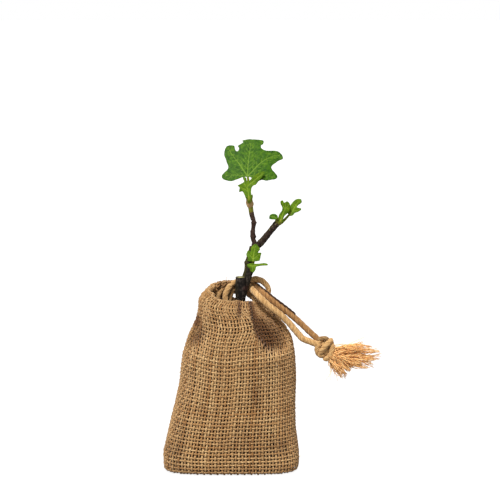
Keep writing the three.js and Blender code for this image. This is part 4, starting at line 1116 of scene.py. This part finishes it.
def leaves():
    J = (-0.7, -8.0)
    mains = [[J, (-0.2, 2), (1.75, 17.6)], [J, (-6.5, 1.0), (-12.8, 9.4), (-14.6, 13.2)], [J, (9.0, 2.2), (17.5, 7.2), (23.4, 7.6)],
             [J, (-8.6, -6.9), (-17.4, -7.4)], [J, (9.4, -7.0), (18.8, -8.2)]]
    veins = [(m, 0.7, 0.75) for m in mains[:3]] + [(m, 0.55, 0.55) for m in mains[3:]]
    veins += side_veins(mains[0], 7, 47, 9.5) + side_veins(mains[1], 5, 46, 8.0) + side_veins(mains[2], 6, 46, 8.5) + side_veins(mains[3], 4, 48, 5.0) + side_veins(mains[4], 4, 48, 5.0)
    leaf("large_leaf_blade", [12.9, 6.6, 228.4], [[-3.9, -8.5], [-9.2, -10.6], [-13.3, -11.6], [-18.6, -10], [-19.6, -7.1], [-15.1, -1.8], [-16.3, 3.5], [-18.1, 8.9],
         [-16.9, 13.6], [-15.1, 15.3], [-10.7, 15.3], [-10.0, 13.0], [-9.4, 11.5], [-8.4, 10.9], [-7.4, 11.6], [-7.1, 13.3], [-7.9, 15.1], [-3.9, 17.7], [-4.5, 19.1],
         [0.2, 20.1], [5.9, 19.9], [11.1, 19.1], [11.1, 16.5], [9.3, 15.3], [9.7, 13.2], [13.2, 11.6], [21.5, 11.2], [25, 8.3],
         [25.4, 5.3], [21.5, 3.3], [16.8, -1.2], [21.1, -7.1], [20.3, -9.7], [13.2, -11.2], [9.7, -10.6], [5.5, -12], [1.5, -8.6]],
         lambda a, b: 0.42 * b + 0.004 * a * a, LEAF, "leaf", veins, 0.42, 0.36, 0.3, 3, 0.55, 0.3)
    leaf("small_top_leaf_blade", [11.8, -2.6, 213.9], [[3.5, -8.5], [3.1, -4.1], [3.4, -0.9], [4.8, 0.9], [6.6, 1.6], [7.6, 3.0], [10.2, 6.1], [13.0, 9.8], [12.6, 11.3],
         [9.5, 10.6], [5.8, 8.7], [3.4, 6.2], [1.5, 4.2], [0, 4.3], [-0.7, 6.8], [-2.7, 7.3], [-3, 6.1], [-2.1, 3.8], [-4.2, 2.4],
         [-6.8, 0.9], [-5.4, -0.6], [-5.7, -3.8], [-3.3, -3.5], [-1.9, -5.9], [-0.4, -8.3]],
         lambda a, b: 0.12 * b + 0.002 * a * a, YOUNG, "young_leaf",
         [([(1.6, -8), (0.8, -3), (0.4, 0.5)], 0.6, 0.9), ([(0.4, 0.5), (4.5, 4), (11.8, 10.2)], 0.5, 0.8), ([(0.6, -2), (-1.6, 2), (-2, 6.4)], 0.45, 0.8),
          ([(0.8, -3.4), (-2.6, -1.2), (-5.8, 0.4)], 0.45, 0.7)] + side_veins([(0.4, 0.5), (11, 9.6)], 4, 44, 3.0, width=0.25), 0.3, 0.32, 0.26, 13, 0.4, 0.1, 0.5)
    leaf("side_leaf_left_blade", [31.3, -8.6, 192.6], [[-3.2, -0.5], [-2.6, 1.2], [-0.8, 2.1], [1.5, 1.9], [3.1, 0.4], [2.7, -1.7], [0.4, -2.1], [-2.8, -1.7]],
         lambda a, b: 0.1 * b + 0.03 * a * a, LEAF, "leaf", [([(2.4, -1.4), (0, 0.1), (-2.6, 0.3)], 0.5, 0.8), ([(0.8, -0.2), (0.4, 1.5)], 0.3, 0.5), ([(0, 0), (-0.8, -1.6)], 0.3, 0.5)],
         0.25, 0.34, 0.2, 23, 0.15, 0.08)
    leaf("side_leaf_middle_blade", [39.4, -8.2, 197.6], [[-4.1, -8.9], [-4.6, -5.9], [-3.9, -3.2], [-2.3, -1.0], [-1.7, 0.9], [-2.0, 2.4], [-3.0, 4.4], [-2.9, 6.4], [-1.3, 6.9],
         [-0.3, 5.3], [1.7, 6.2], [3.4, 5.2], [4.3, 2.5], [3.9, 0.3], [3.0, -1.9], [1.3, -3.3], [-0.1, -4.6], [-0.9, -6.4], [-1.6, -8.9]],
         lambda a, b: -0.05 * b + 0.025 * a * a, YOUNG, "young_leaf", [([(-2.6, -8.6), (-1.4, -3), (0.6, 1), (0.8, 5)], 0.6, 0.9), ([(0.3, 0.5), (-1, 3), (-1.9, 6)], 0.4, 0.7),
         ([(0.5, 0.6), (2.2, 2.6), (2.6, 4.6)], 0.4, 0.7), ([(-1.2, -3), (-2.2, -4)], 0.3, 0.5)], 0.27, 0.32, 0.22, 33, 0.25, 0.08, 0.35)
    leaf("side_leaf_right_blade", [46.1, -4.4, 197.8], [[-4.2, -3.4], [-3.6, -4.2], [-2.4, -5.4], [-0.5, -4.7], [0.9, -3.1], [2.9, -2.4], [5.3, -1.0], [5.6, 0.3], [3.6, 0.8],
         [2.4, 1.3], [3.2, 2.5], [5.4, 4.1], [6.1, 5.2], [5.6, 7.0], [3.8, 7.5], [1.7, 7.0], [-0.5, 5.1], [-2.4, 2.5], [-3.5, -0.3]],
         lambda a, b: 0.15 * b + 0.02 * a * a, YOUNG, "young_leaf", [([(-2.6, -4.6), (-0.6, -1), (2, 3.4), (4.2, 6.4)], 0.5, 0.9), ([(-0.8, -1.6), (2, -1), (4.8, -0.2)], 0.4, 0.7),
         ([(0.4, 1), (-0.6, 2.2)], 0.3, 0.5)], 0.27, 0.32, 0.22, 43, 0.25, 0.08, 0.6)
    leaf("low_leaf_upper_blade", [16.7, -7.2, 164.4], [[-4.3, -5], [-4.1, -2.6], [-5.2, -1], [-5.4, 0.3], [-4.6, 2.1], [-3.9, 2.8], [-2.1, 2.5], [-2.1, 4.3], [-0.5, 6.6],
         [1.7, 7.8], [3.8, 5.6], [4.8, 3.6], [3.3, 1.4], [5.7, 1.2], [5.3, -1], [4.5, -4.5], [2.6, -5.1], [0, -5.3]],
         lambda a, b: 0.1 * b + 0.03 * a * a, YOUNG, "young_leaf", [([(-0.4, -5), (0, 0), (1.4, 6.6)], 0.6, 0.9), ([(-0.3, -3.6), (-2.6, -0.8), (-4.4, 1.2)], 0.45, 0.8),
         ([(-0.3, -3.6), (2.6, -1), (4.9, 0.3)], 0.45, 0.8)] + side_veins([(-0.2, -2), (1.2, 6)], 4, 45, 2.4, width=0.25), 0.3, 0.32, 0.28, 53, 0.5, 0.12, 0.4)
    leaf("low_leaf_side_blade", [16.2, -8.4, 156.2], [[11.1, 0.8], [10.6, 0.1], [8, 0], [5.1, -0.3], [2.5, -0.9], [2.2, -1.8], [1.8, -3.3], [0.8, -4.7], [-0.5, -5],
         [-1.8, -3.5], [-1.8, -2], [-3.1, -1.6], [-4.1, -0.5], [-4.3, 0.8], [-3.1, 1.4], [-0.8, 1.7], [1.8, 1.4], [4.5, 1.5],
         [8.1, 1.9], [10.4, 1.5]],
         lambda a, b: 0.1 * b - 0.02 * a, YOUNG, "young_leaf", [([(-0.4, -0.2), (4, 0.6), (10.4, 0.9)], 0.5, 0.8), ([(-0.4, -0.2), (-2.2, 0.2), (-3.9, 0.4)], 0.4, 0.7),
         ([(-0.2, 0), (-0.3, -4.4)], 0.4, 0.7)], 0.25, 0.32, 0.2, 63, 0.2, 0.06, 0.45)


leaves()

# ------------------------------------------------------------------ drawstring
front_line = [[8.4, 8.6, 140.6], [11.6, 7.0, 139.4], [14.8, 3.6, 137.2], [17.8, -3.8, 135.2], [21, -9.6, 132.9], [27.9, -11.2, 126.6], [34.9, -11.2, 121.4],
              [42, -10.6, 114.6], [46.3, -10.8, 109.6], [50.5, -11.2, 104.6], [53.4, -11.6, 101.8], [59, -12, 99.7], [63.3, -12, 97.9], [66.8, -12, 96.4]]
back_line = [[9.5, 9.6, 141.8, 0.95], [13.0, 9.3, 140.8, 1], [17.0, 6.9, 138.8, 1.05], [20.8, 2.6, 136.2, 1.1], [24.8, -1.8, 133.7, 1.14], [29.6, -5, 130.3, 1.14], [35, -6.4, 126.4, 1.14],
             [41.6, -6.8, 121.4, 1.1], [46.3, -7, 117.5, 1.04], [50.6, -7.4, 113.7, 1], [56.0, -8.4, 108.7, 1], [60.3, -9, 104.7, 1], [64.6, -9.6, 100.9, 1], [66.6, -9.8, 98.6, 0.95]]
loop_line = [[-3.4, 3.2, 117.4, 0.9], [-3.6, 3.3, 122.4, 0.95], [-3.8, 3.6, 127.0, 1.0], [-4.4, 4.2, 131.0, 1.15], [-2.6, 5.0, 135.8, 1.2], [0.8, 6.0, 140.0, 1.15], [6.0, 6.4, 142.4, 1], [11, 6.5, 142.8, 1], [14.8, 6.5, 143.0, 1.15], [18.9, 6, 143.5, 1.22],
             [23.4, 5, 142.0, 1.2], [26.6, 4.4, 138.9, 1.08], [28.0, 4.0, 135.6, 1], [27.0, 3.4, 131.8, 0.95], [24.6, 3.0, 128.6, 0.9], [21.6, 2.6, 125.4, 0.85]]
pleat_line = [[-1.1, 6.4, 117.4, 0.8], [-1.0, 6.7, 121.4, 0.8], [-0.9, 7.0, 125.4, 0.8], [-0.7, 7.6, 130.0, 1], [0.8, 8.0, 134.2, 1.05], [3.4, 8.4, 137.6, 1], [6.6, 8.6, 139.6, 0.9]]


def rope(made, line, radius, plies=3, pitch=11.0, sides=30, step=0.3, seed=0, flat=1.0, stain=0.0, groove=0.28, taper=True, start=(0, -1, 0.3)):
    """Twisted cord along a line: plies as ridges that wind round it."""
    line = np.asarray(line, float)
    P = spline(line if line.shape[1] > 3 else np.column_stack([line, np.ones(len(line))]), step=step)
    C, k = P[:, :3], P[:, 3]
    N = frames(C, start)
    T = unit(np.gradient(C, axis=0))
    B = np.cross(T, N)
    s = np.arange(len(C)) * step
    th = np.arange(sides) / sides * 2 * np.pi
    turn = s / pitch * 2 * np.pi + 0.4 * noise1(s * 0.08, seed)
    ply = (th[None] * plies - turn[:, None] * plies) % (2 * np.pi)
    lobe = np.abs(np.cos(ply / 2)) ** 0.75
    r = radius * k * (1 + 0.06 * noise1(s * 0.16, seed + 1, 2))
    if taper:
        e = np.clip(np.minimum(s, s[-1] - s) / (radius * 0.8), 0, 1)
        r = r * np.sqrt(np.clip(1 - (1 - e) ** 2, 0.004, 1))
    rr = r[:, None] * (1 - groove + groove * lobe)
    base = np.stack(np.broadcast_arrays(np.cos(th)[None] * 1.2, np.sin(th)[None] * 1.2, s[:, None] * 0.3), -1)
    rr = rr * (1 + 0.05 * noise(base * 3, 1.0, seed + 2, 2))
    d = N[:, None] * (np.cos(th) * flat)[None, :, None] + B[:, None] * np.sin(th)[None, :, None]
    V = C[:, None] + d * rr[..., None]
    w = ply / plies + turn[:, None] * 0
    yarn = np.stack([np.cos(th)[None] * 1.0 * np.cos(turn)[:, None] + np.sin(th)[None] * np.sin(turn)[:, None],
                     np.sin(th)[None] * np.cos(turn)[:, None] - np.cos(th)[None] * np.sin(turn)[:, None],
                     np.broadcast_to(s[:, None] * 0.12 + seed * 3.7, rr.shape)], -1)
    n0 = V.shape[0] * sides
    pts = np.vstack([V.reshape(-1, 3), C[:1], C[-1:]])
    j = np.arange(sides)
    tris = np.vstack([np.stack([np.full(sides, n0), (j + 1) % sides, j], -1),
                      np.stack([np.full(sides, n0 + 1), (len(C) - 1) * sides + j, (len(C) - 1) * sides + (j + 1) % sides], -1)])
    pad = lambda a, dim: np.vstack([a.reshape(-1, dim), a.reshape(-1, dim)[:1], a.reshape(-1, dim)[-1:]])
    # the groove attribute is painted shade in the valleys between the plies
    made.add(pts, grid_quads(len(C), sides, True), tris, yarn=pad(yarn, 3), groove=pad((1 - lobe) ** 3 * 0.7, 1), stain=np.full(len(pts), stain))
    return C, N, B


def cords():
    w = Bag()
    rope(w, front_line, 2.45, 3, 13.0, seed=3, flat=0.88, groove=0.09)
    done(w.make("strand_front", CORD), "jute_cord", "cord_front")
    w = Bag()
    # the back strand takes the darker copy of the cord colours, as painted shade
    rope(w, back_line, 2.35, 3, 13.0, seed=5, flat=0.88, groove=0.11)
    # painted shade: a thin, fully darkened cord along the upper edge of the back strand, a dark strand that stands for
    # the shade along that edge
    rope(w, np.array(back_line)[:9] + [1.4, -0.4, 1.75, 0], 0.95, 2, 7.0, seed=6, stain=1.0)
    done(w.make("strand_back", CORD_SHADED), "jute_cord", "cord_back")
    w = Bag()
    # the loop a little, and the two runs inside the mouth more, are darkened in colour
    rope(w, loop_line, 1.95, 3, 14.0, seed=7, flat=0.9, groove=0.12, stain=0.1)
    rope(w, pleat_line, 1.9, 3, 14.0, seed=8, flat=0.9, groove=0.1, stain=0.3)
    rope(w, [[-9.0, 5.6, 117.4, 0.75], [-9.3, 5.9, 121.0, 0.78], [-9.6, 6.2, 124.6, 0.8], [-9.8, 7.0, 130.0, 1], [-7.6, 7.8, 134.6, 1], [-3.6, 8.4, 137.6, 1], [1.0, 8.8, 139.6, 0.9]], 1.8, 3, 14.0, seed=12, flat=0.9, groove=0.1, stain=0.25)
    done(w.make("strand_loop", CORD), "jute_cord", "cord_loop")
    # knot: bands that wind round a core, with the hat of the loop at its upper left
    w = Bag()
    K = np.array([69.2, -10.6, 94.6])
    band = lambda points, r, seed, stain=0.0: rope(w, [K + p for p in points], r, 3, 11, seed=seed, stain=stain, groove=0.17)
    rope(w, [K + [-2.6, 1.4, 5.6], K + [-0.8, 1.2, 2.0], K + [0.6, 1.2, -2.5], K + [2.0, 1.0, -6.2]], 3.5, 3, 10, seed=9, groove=0.1)
    band(([-1.2, 1.6, 7.0], [-3.6, -0.8, 5.4], [-5.2, -1.8, 1.8], [-5.4, -1.6, -2.2], [-3.4, -1.4, -5.0], [0.2, -1.2, -5.4]), 2.0, 21, 0.05)
    band(([-3.4, 0.6, -4.6], [-2.6, -2.6, -1.8], [0.0, -3.6, 1.6], [2.4, -3.2, 4.4], [4.6, -1.0, 5.8], [4.2, 2.2, 5.0]), 2.15, 22)
    band(([3.0, 1.6, 6.2], [5.0, -0.6, 3.4], [5.4, -2.0, -0.6], [4.2, -2.6, -4.6], [1.8, -2.0, -7.4], [-0.6, 0.2, -7.6]), 2.15, 23)
    band(([-4.4, -0.4, 4.6], [-3.6, -1.4, 7.0], [-0.6, -1.8, 8.0], [1.8, -0.8, 7.0], [2.2, 1.2, 5.0]), 1.7, 15, 0.5)
    band(([-1.6, 3.4, 5.0], [2.6, 3.8, 2.2], [3.4, 3.6, -2.4], [0.4, 3.4, -5.8], [-3.2, 2.6, -4.4], [-4.8, 2.6, 0.4], [-3.2, 3.2, 4.2]), 2.1, 24)
    done(w.make("knot_wraps", CORD), "jute_cord", "knot")


cords()


def hairs(made, roots, tips, bend, r0, r1, seg=6, sides=4, seed=0, **attrs):
    """Fine fibres from roots to tips, bowed by bend (n, 3)."""
    t = np.linspace(0, 1, seg)[None, :, None]
    P = roots[:, None] + (tips - roots)[:, None] * t + bend[:, None] * (4 * t * (1 - t))
    wob = np.stack([noise(P * 1.0 + 31 * k, 2.6, seed + k) for k in range(3)], -1) * 0.35 * np.sin(np.pi * t)
    P = P + wob
    T = unit(np.gradient(P, axis=1))
    ref = np.where(np.abs(T[..., 1:2]) > 0.9, [1.0, 0, 0], [0, 1.0, 0])
    N = unit(ref - T * np.sum(ref * T, -1, keepdims=True))
    r = (r0[:, None] * (1 - t[..., 0]) + r1[:, None] * t[..., 0])
    V, q, tr, ang = tubes(P, N, r, r, sides)
    n = len(V)
    out = {}
    for key, a in attrs.items():
        a = np.asarray(a, float)
        out[key] = np.repeat(a, seg * sides) if a.ndim == 1 and len(a) != n else a
    made.add(V, q, tr, **out)
    return P


def tassel():
    g = rng(77)
    w = Bag()
    outline = np.array([[-14, 5], [-7, 7], [4, 9], [11.5, 11.4], [14, 8.2], [19.5, 7.2], [24.6, 3], [24, -1.6], [20, -3.4], [20.4, -7], [16.4, -9.6],
                        [11, -5.4], [6.4, -7.4], [3, -10.6], [0.4, -14.2], [-2.2, -16.2], [-4.6, -11], [-7.4, -15.6], [-9.6, -8], [-12.6, -2.6]], float)
    c = np.array([84.6, -11.4, 88.6])
    tips2 = np.vstack([spline(np.column_stack([outline[3:17], np.zeros(14)]), n=400)[:, :2]])
    n = 430
    pick = g.integers(0, 400, n)
    lengths = g.beta(4, 1.0, n) * 1.06
    tip2 = tips2[pick]
    root2 = np.array([-11.5, 1.0]) + np.stack([g.normal(0, 0.8, n), g.normal(0, 2.6, n)], -1)
    tip2 = root2 + (tip2 - root2) * lengths[:, None]
    depth_r, depth_t = g.normal(0, 1.5, n), g.normal(0, 3.6, n)
    to3 = lambda p, d: c + np.outer(p[:, 0], [1, 0, 0]) + np.outer(p[:, 1], UP) + np.outer(d, AWAY)
    roots, tips = to3(root2, depth_r), to3(tip2, depth_t)
    bend = g.normal(0, 1.3, (n, 3)) + np.array([0, 0, 0.6])
    r0, r1 = g.uniform(0.24, 0.4, n), g.uniform(0.12, 0.22, n)
    seg, sides = 9, 4
    t = np.tile(np.repeat(np.linspace(0, 1, seg), sides), n)
    hairs(w, roots, tips, bend, r0, r1, seg, sides, 3, stain=np.repeat(g.uniform(0, 0.12, n) ** 1.0, seg * sides) + 0.5 * np.exp(-(t / 0.13) ** 2),
          groove=np.repeat(g.uniform(0, 0.7, n) ** 1.6, seg * sides), yarn=np.stack([np.repeat(g.uniform(0, 40, n), seg * sides), np.repeat(g.uniform(0, 40, n), seg * sides), t * 2.5], -1))
    m = 26
    a = g.uniform(-1.9, 0.9, m)
    root2 = np.array([-10.5, 0.0]) + np.stack([g.normal(0, 1.0, m), g.normal(0, 3, m)], -1)
    tip2 = root2 + np.stack([np.cos(a), np.sin(a)], -1) * g.uniform(9, 25, m)[:, None]
    tip2 = np.clip(tip2, [-14, -17.5], [26.5, 14.0])
    roots, tips = to3(root2, g.normal(0, 1.5, m)), to3(tip2, g.normal(0, 4.0, m))
    hairs(w, roots, tips, g.normal(0, 2.2, (m, 3)), g.uniform(0.07, 0.12, m), g.uniform(0.04, 0.06, m), seg, sides, 9,
          stain=np.zeros(m * seg * sides), groove=np.zeros(m * seg * sides), yarn=np.full((m * seg * sides, 3), 2.0))
    # a few long single fibres below the tuft
    tip2 = np.array([[-11.1, -18.0], [-5.5, -18.3], [-3.2, -16.5], [-8.2, -15.1], [-9.9, -12.0], [27.6, 1.6], [14.6, 14.4]])
    root2 = np.array([[-10.6, -3.0], [-8.6, -4.0], [-7.0, -4.4], [-9.6, -3.6], [-10.4, -2.6], [14.0, 2.0], [-2.0, 7.0]])
    m = len(tip2)
    hairs(w, to3(root2, np.zeros(m)), to3(tip2, np.full(m, 0.8)), g.normal(0, 0.7, (m, 3)), np.full(m, 0.24), np.full(m, 0.14), seg, sides, 12,
          stain=np.zeros(m * seg * sides), groove=np.zeros(m * seg * sides), yarn=np.full((m * seg * sides, 3), 2.0))
    done(w.make("tassel_fibres", FRAY), "frayed_jute", "tassel")


tassel()


def fuzz():
    g = rng(5)
    w = Bag()
    n = 2600
    for Q, N, par in (front_net, back_net):
        i = g.integers(8, Q.shape[0] - 8, n // 2)
        j = g.integers(0, Q.shape[1], n // 2)
        ok = ~in_slit(par[i, j, 0], par[i, j, 1])
        i, j = i[ok], j[ok]
        p, nn = Q[i, j], N[i, j]
        m = len(i)
        t1 = unit(np.gradient(Q, axis=1))[i, j]
        t2 = unit(np.gradient(Q, axis=0))[i, j]
        a = g.uniform(0, 2 * np.pi, m)
        flat = t1 * np.cos(a)[:, None] + t2 * np.sin(a)[:, None]
        ln = g.gamma(3.0, 0.55, m)[:, None]
        tips = p + nn * (0.7 + g.uniform(0.1, 0.75, m)[:, None] * ln) + flat * ln * g.uniform(0.4, 1.1, m)[:, None]
        tips[:, 2] = np.maximum(tips[:, 2], 0.4)
        hairs(w, p + nn * 0.7, tips, flat * 0 + nn * g.uniform(-0.1, 0.5, m)[:, None] + g.normal(0, 0.25, (m, 3)), g.uniform(0.045, 0.075, m), g.uniform(0.025, 0.04, m), 5, 3, 4)
    # loose straws at the back of the rim
    tips = np.array([[-3.3, 8.3, 145.0], [-5.8, 8.2, 142.6], [-2.2, 8.4, 143.0]])
    hairs(w, np.array([[-3.7, 8.6, 138.6], [-3.4, 8.6, 138.8], [-3.9, 8.6, 138.8]]), tips, np.array([[-0.5, 0, 0], [0.3, 0, 0.4], [0.4, 0, 0]]),
          np.full(3, 0.26), np.full(3, 0.14), 5, 3, 4)
    done(w.make("pouch_fuzz", FUZZ), "burlap", "bag")


fuzz()

# ------------------------------------------------------------------ floor
me = bpy.data.meshes.new("floor")
me.from_pydata([(-6, -3, 0), (6, -3, 0), (6, 12, 0), (-6, 12, 0)], [], [(0, 1, 2, 3)])
floor = bpy.data.objects.new("floor", me)
scene.collection.objects.link(floor)
fm = Mat("floor", 0.9, 0.1)
fm.color(fm.mix(fm.noise(fm.obj(), 1.2, 2), (0.94, 0.94, 0.94, 1), (0.96, 0.96, 0.96, 1)))
fm.b.inputs["Emission Color"].default_value = (1, 1, 1, 1)
glow = fm.t.nodes.new("ShaderNodeMapRange")
glow.inputs["To Min"].default_value = 0.08
glow.inputs["To Max"].default_value = 0.8
fm.t.links.new(fm.t.nodes.new("ShaderNodeLightPath").outputs["Is Camera Ray"], glow.inputs["Value"])
fm.t.links.new(glow.outputs["Result"], fm.b.inputs["Emission Strength"])
me.materials.append(fm.m)
# the sun models the object only; the floor keeps just the soft shade of the surroundings
aside = bpy.data.collections.new("floor_only")
aside.objects.link(floor)
aside.collection_objects[0].light_linking.link_state = "EXCLUDE"
sun.light_linking.receiver_collection = aside
behind.light_linking.receiver_collection = aside

bpy.context.view_layer.update()
